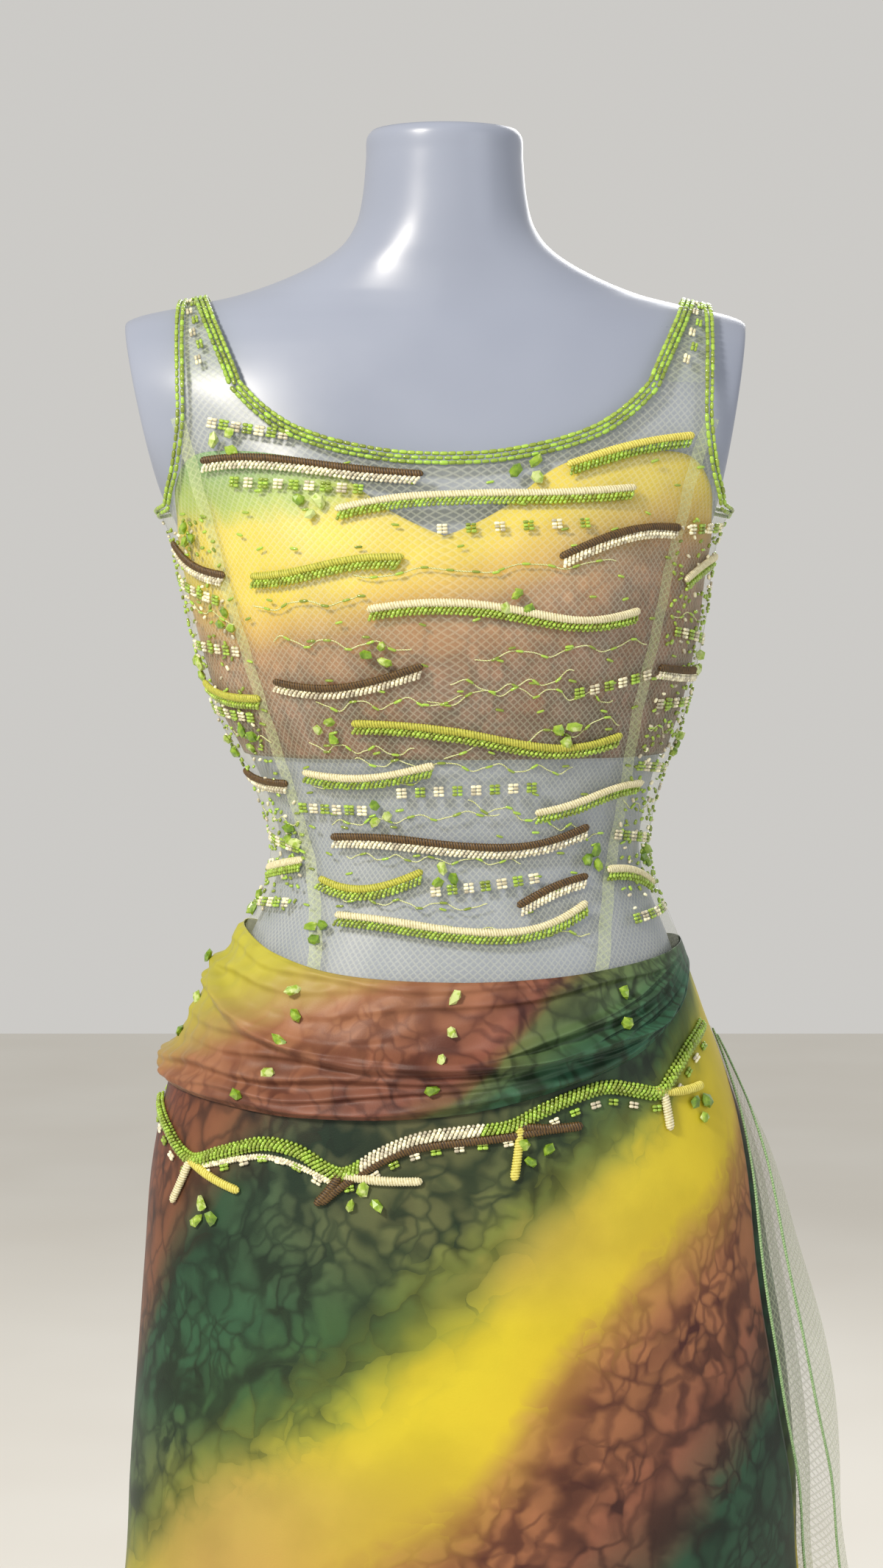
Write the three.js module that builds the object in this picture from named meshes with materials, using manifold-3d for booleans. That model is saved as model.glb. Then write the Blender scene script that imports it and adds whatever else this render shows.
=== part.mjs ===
// A sleeveless evening dress on a limbless shop form: a sheer net bodice over a silk bandeau, a draped silk
// hip yoke and a long flared silk skirt with a side slit and two hanging net panels.
// Millimetres, +Z up, the front faces -Y, and the origin is on the floor under the middle of the base.
import * as THREE from "three";
import { mergeVertices } from "three/addons/utils/BufferGeometryUtils.js";
import Module from "manifold-3d";

const wasm = await Module();
wasm.setup();

// Heights above the floor
const STRAP_ROOT = 1340; // where the bodice ends and the shoulder straps begin
const UNDERARM = 1268;
const SEAM_START = 1320; // top of the princess seams, at the armhole
const BANDEAU_FOOT = 1112;
const SLIT_TOP = 930;
const FORM_FOOT = 700;
const HEM = 40;

// Thicknesses and how far each layer stands off the form
const CLOTH = 1.2;
const BANDEAU_LIFT = 1.5;
const NET_LIFT = 4.95;
const TRIM_LIFT = NET_LIFT + CLOTH + 1;
const YOKE_LIFT = NET_LIFT + CLOTH + 0.9;
const SKIRT_TRIM_LIFT = CLOTH + 0.7; // from the inside of the silk
const SEAM_GAP = 0.4; // each panel stops this far short of its seam line
const WAIST_GAP = 0.8; // the same at the waist seam, which the yoke hides
const YOKE_OVERLAP = 10; // the yoke covers the waist seam by this much

// Trims
const NECK_EDGE_WIDTH = 8;
const ARM_EDGE_WIDTH = 5.5;
const EDGE_THICK = 2;
const EDGE_INSET = 0.3; // from the cloth's edge to the band
const EDGE_STAND = 0.6; // how much further off the cloth its lower face is along the inner side
const STRIP_WIDTH = 9.5;
const STRIP_THICK = 2.6;
const ROPE_WIDTH = 9;
const ROPE_THICK = 4;
const TWIG_WIDTH = 5;
const TWIG_SHARE = 0.7; // of the rope's thickness
const TWIG_CLEAR = 0.05; // twigs start this much above the rope's underside
const BAR_SHOULDER = 0.6; // share of a bar's half width at its top
const CHIP = { across: 8.5, tall: 7, proud: 3.8, sunk: 1.1, taper: 0.62 };

// Shoulder straps: distance of their edges from the middle, at the root and on the crest
const STRAP = { innerRoot: 123, innerCrest: 149, outerRoot: 163, outerCrest: 167, crestLift: 1.4 };

// Stand
const BASE_RADIUS = 180;
const BASE_THICK = 8;
const HUB_RADIUS = 22;
const HUB_TOP = 45;
const POLE_RADIUS = 12.5;
const FLANGE_RADIUS = 60;
const FLANGE_THICK = 6;
const FIT = 0.3;
const FORM_SIDES = 24;
const BASE_SIDES = 28;
const POLE_SIDES = 20;

// Bust: two soft rises, bridged by the cloth, that die away where the section turns in to the side
const BUST = { height: 1215, apart: 75, across: 60, tall: 68, proud: 25, turn: 0.6 };

// The shoulders are cut off flat: how far out the cut is at its height, how much it leans in below that, and
// how far up and down it reaches
const ARM_CUTS = [
  { side: -1, out: 203.5, slope: 0.215 },
  { side: 1, out: 191.5, slope: 0.165 },
];
const ARM_CUT_HEIGHT = 1387;
const ARM_CUT_REACH = 280;

// The form's level sections: half width, depth in front and behind, sideways shift, and the corner power
const FORM = [
  { z: 700, half: 148, front: 86, back: 96, shift: 0, power: 2.3 },
  { z: 740, half: 160, front: 95, back: 106, shift: 0, power: 2.3 },
  { z: 800, half: 172, front: 103, back: 117, shift: 0, power: 2.3 },
  { z: 865, half: 176, front: 107, back: 120, shift: 1, power: 2.3 },
  { z: 905, half: 169, front: 107, back: 114, shift: 2, power: 2.3 },
  { z: 945, half: 156, front: 104, back: 103, shift: 4, power: 2.3 },
  { z: 990, half: 135, front: 96, back: 88, shift: 9, power: 2.25 },
  { z: 1045, half: 115, front: 86, back: 76, shift: 10, power: 2.2 },
  { z: 1090, half: 123, front: 89, back: 78, shift: 8, power: 2.2 },
  { z: 1140, half: 144, front: 96, back: 84, shift: 4, power: 2.25 },
  { z: 1190, half: 157, front: 96, back: 90, shift: 2, power: 2.3 },
  { z: 1230, half: 164, front: 92, back: 95, shift: 0, power: 2.35 },
  { z: 1255, half: 170, front: 89, back: 97, shift: 0, power: 2.4 },
  { z: 1280, half: 184, front: 86, back: 97, shift: -1, power: 2.45 },
  { z: 1310, half: 202, front: 81, back: 94, shift: -3, power: 2.45 },
  { z: 1340, half: 213, front: 75, back: 86, shift: -5, power: 2.3 },
  { z: 1365, half: 211, front: 68, back: 74, shift: -6, power: 2.0 },
  { z: 1380, half: 200, front: 62, back: 65, shift: -6, power: 1.75 },
  { z: 1387, half: 186, front: 59, back: 61, shift: -6, power: 1.6 },
  { z: 1393, half: 158, front: 57, back: 58, shift: -5, power: 1.6 },
  { z: 1400, half: 127, front: 55, back: 56, shift: -3, power: 1.7 },
  { z: 1413, half: 93, front: 53, back: 54, shift: -1, power: 1.85 },
  { z: 1427, half: 69, front: 52, back: 53, shift: 0, power: 2 },
  { z: 1442, half: 57, front: 51, back: 52, shift: 0, power: 2 },
  { z: 1460, half: 52, front: 50, back: 51, shift: 0, power: 2 },
  { z: 1485, half: 49.5, front: 49, back: 50, shift: 0, power: 2 },
  { z: 1498, half: 49, front: 48.5, back: 49.5, shift: 0, power: 2 },
  { z: 1502, half: 46, front: 45.5, back: 46.5, shift: 0, power: 2 },
];

// The hanging skirt's level sections, at the inside of the silk
const SKIRT = [
  { z: 40, half: 266, front: 180, back: 196, shift: 12, power: 2.1 },
  { z: 200, half: 252, front: 168, back: 184, shift: 14, power: 2.1 },
  { z: 400, half: 235, front: 152, back: 168, shift: 14, power: 2.15 },
  { z: 590, half: 216, front: 138, back: 153, shift: 11.5, power: 2.2 },
  { z: 650, half: 214, front: 134, back: 149, shift: 12, power: 2.2 },
  { z: 724, half: 208, front: 128, back: 142, shift: 11, power: 2.2 },
  { z: 790, half: 200, front: 123, back: 136, shift: 8, power: 2.25 },
  { z: 845, half: 193, front: 119, back: 131, shift: 5.5, power: 2.25 },
  { z: 900, half: 180, front: 114, back: 124, shift: 3, power: 2.3 },
  { z: 960, half: 166, front: 110, back: 114, shift: 4, power: 2.3 },
];

// Princess seams, left and right of the bodice's middle
const PRINCESS = [
  { z: 960, out: 86 },
  { z: 1000, out: 86 },
  { z: 1045, out: 89 },
  { z: 1075, out: 95 },
  { z: 1105, out: 102 },
  { z: 1144, out: 111 },
  { z: 1180, out: 120 },
  { z: 1232, out: 134 },
  { z: 1291, out: 151 },
  { z: 1320, out: 162 },
];

// Necklines: height of the scoop's edge at each distance from the middle
const FRONT_SCOOP = [
  { x: 0, z: 1295 },
  { x: 25, z: 1296 },
  { x: 45, z: 1299 },
  { x: 70, z: 1305 },
  { x: 92, z: 1314 },
  { x: 110, z: 1327 },
  { x: 123, z: 1340 },
];
const BACK_SCOOP = [
  { x: 0, z: 1312 },
  { x: 45, z: 1315 },
  { x: 80, z: 1322 },
  { x: 107, z: 1332 },
  { x: 123, z: 1340 },
];

// Armhole below the strap: how far out its edge runs at each height
const ARMHOLE = [
  { z: 1268, out: 169 },
  { z: 1273, out: 169 },
  { z: 1280, out: 167.5 },
  { z: 1290, out: 165 },
  { z: 1305, out: 163 },
  { z: 1320, out: 162 },
  { z: 1340, out: 163 },
];

// Edges of the hip yoke, by the place across the form from its left side, -1, to its right side, 1
const YOKE_EDGES = [
  { across: -1, top: 999, foot: 902 },
  { across: -0.8, top: 987, foot: 898 },
  { across: -0.5, top: 978, foot: 893 },
  { across: 0, top: 975, foot: 896 },
  { across: 0.4, top: 977, foot: 912 },
  { across: 0.68, top: 981, foot: 929 },
  { across: 0.88, top: 985, foot: 951 },
  { across: 1, top: 989, foot: 975 },
];

// The bandeau's upper edge, by degrees from the front middle towards either side
const BANDEAU_TOP = [
  { turn: 0, z: 1246 },
  { turn: 8, z: 1262 },
  { turn: 17, z: 1288 },
  { turn: 26, z: 1296 },
  { turn: 38, z: 1299 },
  { turn: 48, z: 1296 },
  { turn: 60, z: 1280 },
  { turn: 74, z: 1256 },
  { turn: 90, z: 1238 },
  { turn: 110, z: 1232 },
  { turn: 180, z: 1236 },
];

// Free edge of the front panel at the slit, in degrees forward of the side
const SLIT_EDGE = [
  { z: 40, turn: 12 },
  { z: 400, turn: 11 },
  { z: 590, turn: 11 },
  { z: 640, turn: 14 },
  { z: 700, turn: 20 },
  { z: 770, turn: 22 },
  { z: 845, turn: 17 },
  { z: 900, turn: 7 },
  { z: 930, turn: 0 },
];

// Flutes of the skirt: how many go round, how far they stand at the hem, and where each set starts
const FLUTES = [
  { count: 9, proud: 11, start: 20 },
  { count: 5, proud: 6, start: 75 },
];
const FLUTE_TOP = 760;

// The skirt hangs free below the first height and lies on the cloth of the body above the second
const HIP_HOLD = { free: 880, tight: 950 };

// How far the slit gapes, in degrees, and the fall over which it opens
const SLIT_GAPE = { most: 3, over: 120 };

// Net panels that hang in the slit: their front side in degrees behind the silk's free edge, their back side
// in degrees behind the side seam, their top, the layer they lie in, and how far they stand out at the hem in
// the middle and, as a share of that, at the sides
const NETS = [
  { name: "net_panel_inner", from: 1.5, to: 14, top: 930, layer: 0, flare: 16, sides: 0.3 },
  { name: "net_panel_outer", from: 7, to: 27, top: 924, layer: 1, flare: 60, sides: 0.6 },
];
const NET_SHORT = 12; // how far above the silk's hem they end
const NET_FLARE_RATE = 1.9; // how soon the flare opens below the top

// Drape folds of the yoke: height across it from its foot, 0, to its top, 1, how proud, and their tilt
const YOKE_FOLDS = [
  { at: 0.06, proud: 3.4, tilt: 0.02, width: 0.1 },
  { at: 0.3, proud: 3.0, tilt: 0.1, width: 0.1 },
  { at: 0.52, proud: 2.6, tilt: 0.14, width: 0.09 },
  { at: 0.76, proud: 2.0, tilt: 0.1, width: 0.1 },
];

// Large stone chips sewn on the yoke, in three columns and down its left side
const YOKE_CHIPS = [
  { turn: -37, z: 966 },
  { turn: -34, z: 952 },
  { turn: -34, z: 937 },
  { turn: -36, z: 919 },
  { turn: -42, z: 904 },
  { turn: -84, z: 972 },
  { turn: -84, z: 950 },
  { turn: -84, z: 929 },
  { turn: 0, z: 966 },
  { turn: 0, z: 946 },
  { turn: -1, z: 930 },
  { turn: -2, z: 912 },
  { turn: 40, z: 966 },
  { turn: 38, z: 947 },
];

// The sash runs to a point at the right: its extra thickness starts where it is this tall, and is whole where
// it is this much taller again
const YOKE_POINT = { tall: 10, over: 50, body: 0.3 };

// Raised embroidered strips on the bodice. turn0 and turn1 are the ends in degrees from the front middle,
// right of it positive, z0 and z1 their heights, and sag is how far the middle dips.
const STRIPS = [
  { turn0: -45, z0: 1291, turn1: -2, z1: 1279, sag: -3, cord: "brown" },
  { turn0: 19, z0: 1285, turn1: 46, z1: 1306, sag: -4, cord: "lemon" },
  { turn0: -18, z0: 1258, turn1: 35, z1: 1273, sag: -2, cord: "ivory" },
  { turn0: 21, z0: 1230, turn1: 53, z1: 1250, sag: -7, cord: "brown" },
  { turn0: -41, z0: 1220, turn1: -6, z1: 1230, sag: 0, cord: "lime" },
  { turn0: -14, z0: 1201, turn1: 42, z1: 1200, sag: 1, cord: "ivory" },
  { turn0: -41, z0: 1159, turn1: -4, z1: 1169, sag: 8, cord: "brown" },
  { turn0: -22, z0: 1134, turn1: 44, z1: 1126, sag: 7, cord: "lime" },
  { turn0: -43, z0: 1103, turn1: -4, z1: 1108, sag: 6, cord: "ivory" },
  { turn0: 20, z0: 1077, turn1: 60, z1: 1094, sag: -2, cord: "ivory" },
  { turn0: -39, z0: 1061, turn1: 39, z1: 1068, sag: 8, cord: "brown" },
  { turn0: -44, z0: 1033, turn1: -9, z1: 1040, sag: 9, cord: "lime" },
  { turn0: 14, z0: 1018, turn1: 38, z1: 1035, sag: -3, cord: "brown" },
  { turn0: -34, z0: 1011, turn1: 36, z1: 1019, sag: 12, cord: "ivory" },
  { turn0: -78, z0: 1243, turn1: -50, z1: 1221, sag: 4, cord: "brown" },
  { turn0: -80, z0: 1156, turn1: -47, z1: 1148, sag: 3, cord: "lime" },
  { turn0: -82, z0: 1101, turn1: -51, z1: 1095, sag: 2, cord: "brown" },
  { turn0: -80, z0: 1034, turn1: -52, z1: 1044, sag: 0, cord: "ivory" },
  { turn0: 59, z0: 1218, turn1: 82, z1: 1234, sag: -3, cord: "ivory" },
  { turn0: 52, z0: 1166, turn1: 80, z1: 1163, sag: 1, cord: "brown" },
  { turn0: 46, z0: 1038, turn1: 74, z1: 1025, sag: -4, cord: "ivory" },
  { turn0: 128, z0: 1262, turn1: 176, z1: 1270, sag: 4, cord: "brown" },
  { turn0: 196, z0: 1258, turn1: 236, z1: 1240, sag: -3, cord: "ivory" },
  { turn0: 118, z0: 1206, turn1: 168, z1: 1198, sag: 5, cord: "lime" },
  { turn0: 184, z0: 1184, turn1: 240, z1: 1194, sag: 4, cord: "brown" },
  { turn0: 122, z0: 1136, turn1: 180, z1: 1146, sag: 6, cord: "ivory" },
  { turn0: 190, z0: 1112, turn1: 238, z1: 1122, sag: 4, cord: "lime" },
  { turn0: 126, z0: 1066, turn1: 184, z1: 1058, sag: 5, cord: "brown" },
  { turn0: 176, z0: 1022, turn1: 232, z1: 1030, sag: 5, cord: "ivory" },
];

// The beaded rope that winds round the hips, by degrees from the front middle, and its side twigs
const ROPES = [
  {
    name: "hip_rope_front",
    route: [
      { turn: -88, z: 889 },
      { turn: -78, z: 883 },
      { turn: -70, z: 876 },
      { turn: -56, z: 861 },
      { turn: -46, z: 868 },
      { turn: -35, z: 876 },
      { turn: -27, z: 873 },
      { turn: -18, z: 860 },
      { turn: -11, z: 872 },
      { turn: -5, z: 881 },
      { turn: 2, z: 886 },
      { turn: 9, z: 889 },
      { turn: 15, z: 898 },
      { turn: 22, z: 906 },
      { turn: 30, z: 911 },
      { turn: 37, z: 908 },
      { turn: 44, z: 905 },
      { turn: 50, z: 915 },
      { turn: 59, z: 928 },
      { turn: 74, z: 940 },
    ],
    twigs: [
      { turn: -57, z: 862, toTurn: -40, toZ: 846 },
      { turn: -56, z: 861, toTurn: -62, toZ: 832 },
      { turn: -18, z: 860, toTurn: -4, toZ: 857 },
      { turn: -18, z: 861, toTurn: -23, toZ: 841 },
      { turn: 11, z: 892, toTurn: 9, toZ: 857 },
      { turn: 10, z: 890, toTurn: 23, toZ: 889 },
      { turn: 45, z: 906, toTurn: 44, toZ: 882 },
      { turn: 42, z: 906, toTurn: 60, toZ: 906 },
    ],
  },
  {
    name: "hip_rope_back",
    route: [
      { turn: 119, z: 896 },
      { turn: 128, z: 899 },
      { turn: 138, z: 896 },
      { turn: 150, z: 890 },
      { turn: 164, z: 876 },
      { turn: 178, z: 880 },
      { turn: 192, z: 881 },
      { turn: 206, z: 872 },
      { turn: 220, z: 864 },
      { turn: 234, z: 874 },
      { turn: 248, z: 881 },
      { turn: 262, z: 888 },
    ],
    twigs: [
      { turn: 126, z: 898, toTurn: 136, toZ: 876 },
      { turn: 164, z: 877, toTurn: 150, toZ: 858 },
      { turn: 165, z: 877, toTurn: 184, toZ: 864 },
      { turn: 220, z: 867, toTurn: 232, toZ: 848 },
    ],
  },
];

// Colours and finishes
const FINISH = {
  form: { color: 0xaab0bb, roughness: 0.35, metalness: 0 },
  steel: { color: 0x8c9096, roughness: 0.3, metalness: 0.9 },
  net: { color: 0xd9e2c6, roughness: 0.8, metalness: 0 },
  bandeau: { color: 0xd8b93c, roughness: 0.55, metalness: 0 },
  yoke: { color: 0x9a5a3c, roughness: 0.5, metalness: 0 },
  silk: { color: 0xc9b22a, roughness: 0.5, metalness: 0 },
  silkBack: { color: 0x3f6a3a, roughness: 0.5, metalness: 0 },
  beads: { color: 0x8fc02f, roughness: 0.2, metalness: 0 },
  brown: { color: 0x4a2f18, roughness: 0.7, metalness: 0 },
  ivory: { color: 0xe9e6c4, roughness: 0.7, metalness: 0 },
  lemon: { color: 0xe6dc4a, roughness: 0.7, metalness: 0 },
  lime: { color: 0xa9b23a, roughness: 0.7, metalness: 0 },
};

// Rows of the meshes: heights of the form's rings, and shares of the height of a bodice panel (closest at the
// waist and the underarm) and of a hanging panel (closest at the hips)
const FORM_RINGS = [
  700, 740, 780, 820, 860, 900, 935, 965, 990, 1015, 1040, 1065, 1090, 1115, 1140, 1165, 1190, 1215, 1240,
  1254, 1264, 1274, 1288, 1305, 1325, 1345, 1362, 1374, 1382, 1388, 1394, 1400, 1407, 1414, 1421, 1430, 1444,
  1462, 1486, 1498, 1502,
];
const PANEL_ROWS = [
  0, 0.05, 0.1, 0.14, 0.18, 0.22, 0.27, 0.33, 0.4, 0.48, 0.55, 0.62, 0.69, 0.76, 0.83, 0.89, 0.95, 1,
];
const SIDE_ROWS = [0, 0.06, 0.12, 0.18, 0.24, 0.31, 0.4, 0.51, 0.63, 0.74, 0.83, 0.91, 1];
const HANG_ROWS = [0, 0.035, 0.07, 0.11, 0.16, 0.22, 0.31, 0.42, 0.54, 0.66, 0.78, 0.9, 1];

const RAD = Math.PI / 180;
const FRONT = -1;
const BACK = 1;
const SIDE_GAP = 0.1; // degrees from the side seam to the panels on each side of it
const ARMHOLE_STEPS = 6;

const smooth = (x) => {
  const k = Math.min(1, Math.max(0, x));
  return k * k * (3 - 2 * k);
};
const mix = (a, b, k) => a + (b - a) * k;
const signedPower = (x, p) => Math.sign(x) * Math.abs(x) ** p;

// A column of a table at x: a cubic through the rows, each row's slope taken from its neighbours.
function follow(table, by, name, x) {
  const last = table.length - 1;
  if (x <= table[0][by]) return table[0][name];
  if (x >= table[last][by]) return table[last][name];
  let i = 0;
  while (table[i + 1][by] < x) i++;
  const slope = (k) => {
    const a = table[Math.max(0, k - 1)];
    const b = table[Math.min(last, k + 1)];
    return (b[name] - a[name]) / (b[by] - a[by]);
  };
  const [p, q] = [table[i], table[i + 1]];
  const step = q[by] - p[by];
  const k = (x - p[by]) / step;
  const k2 = k * k;
  const k3 = k2 * k;
  return (
    p[name] * (2 * k3 - 3 * k2 + 1) +
    slope(i) * step * (k3 - 2 * k2 + k) +
    q[name] * (3 * k2 - 2 * k3) +
    slope(i + 1) * step * (k3 - k2)
  );
}

function sectionAt(table, z) {
  const section = {};
  for (const name of ["half", "front", "back", "shift", "power"])
    section[name] = follow(table, "z", name, z);
  return section;
}

// How far the bust stands forward at a distance from the middle: two rises, or one across both when bridged.
function bustAt(x, z, bridged) {
  const { height, apart, across, tall, proud } = BUST;
  const rise = (d) => Math.exp(-((d / across) ** 2));
  const level = Math.exp(-(((z - height) / tall) ** 2));
  const wide = bridged
    ? rise(Math.max(0, Math.abs(x) - apart))
    : rise(x - apart) + rise(x + apart);
  return proud * level * wide;
}

// A point of a rounded section at angle t from +X, anticlockwise seen from above.
function roundedPoint(section, t) {
  const e = 2 / section.power;
  const depth = Math.sin(t) < 0 ? section.front : section.back;
  return [
    section.shift + section.half * signedPower(Math.cos(t), e),
    depth * signedPower(Math.sin(t), e),
  ];
}

function bodyAt(t, z, bridged) {
  const section = sectionAt(FORM, z);
  const [x, y] = roundedPoint(section, t);
  const forward = smooth(-Math.sin(t) / BUST.turn);
  return new THREE.Vector3(x, y - forward * bustAt(x - section.shift, z, bridged), z);
}

// The skirt follows the cloth of the hips and passes into its own hanging sections lower down.
function skirtAt(t, z) {
  const section = sectionAt(SKIRT, z);
  const [x, y] = roundedPoint(section, t);
  const hung = new THREE.Vector3(x, y, z);
  const fall = smooth((FLUTE_TOP - z) / (FLUTE_TOP - HEM));
  let flute = 0;
  for (const { count, proud, start } of FLUTES)
    flute += proud * fall * Math.sin(count * (t - start * RAD));
  hung.addScaledVector(new THREE.Vector3(Math.cos(t), Math.sin(t), 0), flute);
  const tight = smooth((z - HIP_HOLD.free) / (HIP_HOLD.tight - HIP_HOLD.free));
  return tight > 0 ? hung.lerp(liftFrom(clothBody, t, z, NET_LIFT), tight) : hung;
}

const clothBody = (t, z) => bodyAt(t, z, true);

// A surface's point moved out along its normal, which comes from two short steps on the surface.
function liftFrom(surface, t, z, lift) {
  const dt = 0.01;
  const dz = 1;
  const along = surface(t + dt, z).sub(surface(t - dt, z));
  const up = surface(t, z + dz).sub(surface(t, z - dz));
  const normal = along.cross(up).normalize();
  return surface(t, z).addScaledVector(normal, lift);
}

// The angle at which a section has the given sideways place, on its front or its back.
function angleAt(x, z, facing) {
  const section = sectionAt(FORM, z);
  const share = Math.min(1, Math.max(-1, (x - section.shift) / section.half));
  return facing * Math.acos(signedPower(share, section.power / 2));
}

// Solids

function geometryOf(points, triangles) {
  const geometry = new THREE.BufferGeometry();
  const numbers = points.flatMap((p) => [p.x, p.y, p.z]);
  geometry.setAttribute("position", new THREE.Float32BufferAttribute(numbers, 3));
  geometry.setIndex(triangles.flat());
  return faceOut(geometry);
}

// Turns a closed geometry's faces out when its volume comes out negative.
function faceOut(geometry) {
  const position = geometry.getAttribute("position");
  const index = geometry.index.array;
  const corner = (k) => new THREE.Vector3().fromBufferAttribute(position, index[k]);
  let volume = 0;
  for (let i = 0; i < index.length; i += 3)
    volume += corner(i).dot(corner(i + 1).cross(corner(i + 2)));
  if (volume < 0)
    for (let i = 0; i < index.length; i += 3)
      [index[i + 1], index[i + 2]] = [index[i + 2], index[i + 1]];
  return geometry;
}

// A cloth wall: point(u, v, side) for u and v from 0 to 1, side 0 inside and 1 outside. A closed wall joins
// u 1 to u 0.
function wall(us, vs, closed, point) {
  const columns = us.length;
  const rows = vs.length;
  const points = [];
  for (const side of [0, 1])
    for (const v of vs)
      for (const u of us)
        points.push(point(u, v, side));
  const at = (side, row, column) => (side * rows + row) * columns + (column % columns);
  const triangles = [];
  const quad = (a, b, c, d) => triangles.push([a, b, c], [a, c, d]);
  const spans = closed ? columns : columns - 1;
  for (let i = 0; i < spans; i++)
    for (let j = 0; j < rows - 1; j++) {
      quad(at(1, j, i), at(1, j, i + 1), at(1, j + 1, i + 1), at(1, j + 1, i));
      quad(at(0, j, i), at(0, j + 1, i), at(0, j + 1, i + 1), at(0, j, i + 1));
    }
  for (let i = 0; i < spans; i++) {
    quad(at(0, 0, i), at(0, 0, i + 1), at(1, 0, i + 1), at(1, 0, i));
    quad(at(1, rows - 1, i), at(1, rows - 1, i + 1), at(0, rows - 1, i + 1), at(0, rows - 1, i));
  }
  const end = columns - 1;
  if (!closed)
    for (let j = 0; j < rows - 1; j++) {
      quad(at(1, j, 0), at(1, j + 1, 0), at(0, j + 1, 0), at(0, j, 0));
      quad(at(0, j, end), at(0, j + 1, end), at(1, j + 1, end), at(1, j, end));
    }
  return geometryOf(points, triangles);
}

// A bar through rings of points, closed on itself or capped at both ends.
function bar(rings, closed) {
  const sides = rings[0].length;
  const points = rings.flat();
  const triangles = [];
  const count = closed ? rings.length : rings.length - 1;
  for (let i = 0; i < count; i++) {
    const a = i * sides;
    const b = ((i + 1) % rings.length) * sides;
    for (let k = 0; k < sides; k++) {
      const n = (k + 1) % sides;
      triangles.push([a + k, a + n, b + n], [a + k, b + n, b + k]);
    }
  }
  if (!closed)
    for (let k = 1; k < sides - 1; k++) {
      const end = (rings.length - 1) * sides;
      triangles.push([0, k + 1, k], [end, end + k, end + k + 1]);
    }
  return geometryOf(points, triangles);
}

const steps = (count) => Array.from({ length: count + 1 }, (_, i) => i / count);
const ringSteps = (count) => steps(count).slice(0, -1);

// A patch between four edges given in (angle, height): each edge function takes 0 to 1 and gives a pair.
function patch(foot, top, left, right) {
  const [p00, p10, p01, p11] = [foot(0), foot(1), top(0), top(1)];
  return (u, v) => {
    const [b, t, l, r] = [foot(u), top(u), left(v), right(v)];
    return [0, 1].map(
      (k) =>
        (1 - v) * b[k] + v * t[k] + (1 - u) * l[k] + u * r[k] -
        ((1 - u) * (1 - v) * p00[k] + u * (1 - v) * p10[k] + (1 - u) * v * p01[k] + u * v * p11[k]),
    );
  };
}

function toManifold(geometry) {
  const bare = geometry.index ? geometry.toNonIndexed() : geometry.clone();
  bare.deleteAttribute("normal");
  bare.deleteAttribute("uv");
  const merged = mergeVertices(bare, 1e-4);
  return new wasm.Manifold(
    new wasm.Mesh({
      numProp: 3,
      vertProperties: merged.attributes.position.array,
      triVerts: new Uint32Array(merged.index.array),
    }),
  );
}

function fromManifold(solid) {
  const mesh = solid.getMesh();
  const geometry = new THREE.BufferGeometry();
  geometry.setAttribute("position", new THREE.BufferAttribute(new Float32Array(mesh.vertProperties), 3));
  geometry.setIndex(new THREE.BufferAttribute(new Uint32Array(mesh.triVerts), 1));
  return geometry;
}

const dress = new THREE.Group();

function add(name, geometry, finish) {
  geometry.computeVertexNormals();
  const mesh = new THREE.Mesh(geometry, new THREE.MeshStandardMaterial(FINISH[finish]));
  mesh.name = name;
  dress.add(mesh);
}

// Shop form and stand

function form() {
  const rings = FORM_RINGS.map((z) => ringSteps(FORM_SIDES).map((u) => bodyAt(u * 2 * Math.PI, z, false)));
  let solid = toManifold(bar(rings, false));
  for (const { side, out, slope } of ARM_CUTS) {
    const slab = new THREE.BoxGeometry(ARM_CUT_REACH, ARM_CUT_REACH, ARM_CUT_REACH);
    slab.translate(side * (ARM_CUT_REACH / 2), 0, 0);
    slab.rotateY(side * Math.atan(slope));
    slab.translate(side * out, 0, ARM_CUT_HEIGHT);
    solid = solid.subtract(toManifold(slab));
  }
  add("form", fromManifold(solid), "form");
}

function lathe(profile, sides) {
  const geometry = new THREE.LatheGeometry(profile.map(([r, z]) => new THREE.Vector2(r, z)), sides);
  geometry.rotateX(Math.PI / 2);
  geometry.deleteAttribute("normal");
  geometry.deleteAttribute("uv");
  return faceOut(mergeVertices(geometry, 1e-4));
}

function stand() {
  const socket = BASE_THICK - 2;
  const bevel = 3;
  const base = [
    [0, 0],
    [BASE_RADIUS, 0],
    [BASE_RADIUS, BASE_THICK - bevel],
    [BASE_RADIUS - bevel, BASE_THICK],
    [HUB_RADIUS + bevel, BASE_THICK],
    [HUB_RADIUS, BASE_THICK + bevel],
    [HUB_RADIUS, HUB_TOP],
    [POLE_RADIUS + FIT, HUB_TOP],
    [POLE_RADIUS + FIT, socket],
    [0, socket],
  ];
  add("stand_base", lathe(base, BASE_SIDES), "steel");
  const flangeTop = FORM_FOOT - FIT;
  const pole = [
    [0, socket + FIT],
    [POLE_RADIUS, socket + FIT],
    [POLE_RADIUS, flangeTop - FLANGE_THICK],
    [FLANGE_RADIUS, flangeTop - FLANGE_THICK],
    [FLANGE_RADIUS, flangeTop],
    [0, flangeTop],
  ];
  add("stand_pole", lathe(pole, POLE_SIDES), "steel");
}

// Yoke edges and the waist seam under it

function acrossAt(t) {
  return signedPower(Math.cos(t), 2 / FORM[6].power);
}
const yokeTop = (t) => follow(YOKE_EDGES, "across", "top", acrossAt(t));
const yokeFoot = (t) => follow(YOKE_EDGES, "across", "foot", acrossAt(t));
const waistSeam = (t) => yokeTop(t) - YOKE_OVERLAP;

// Bodice panels: a middle one and two side ones in front, and the same behind

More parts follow.
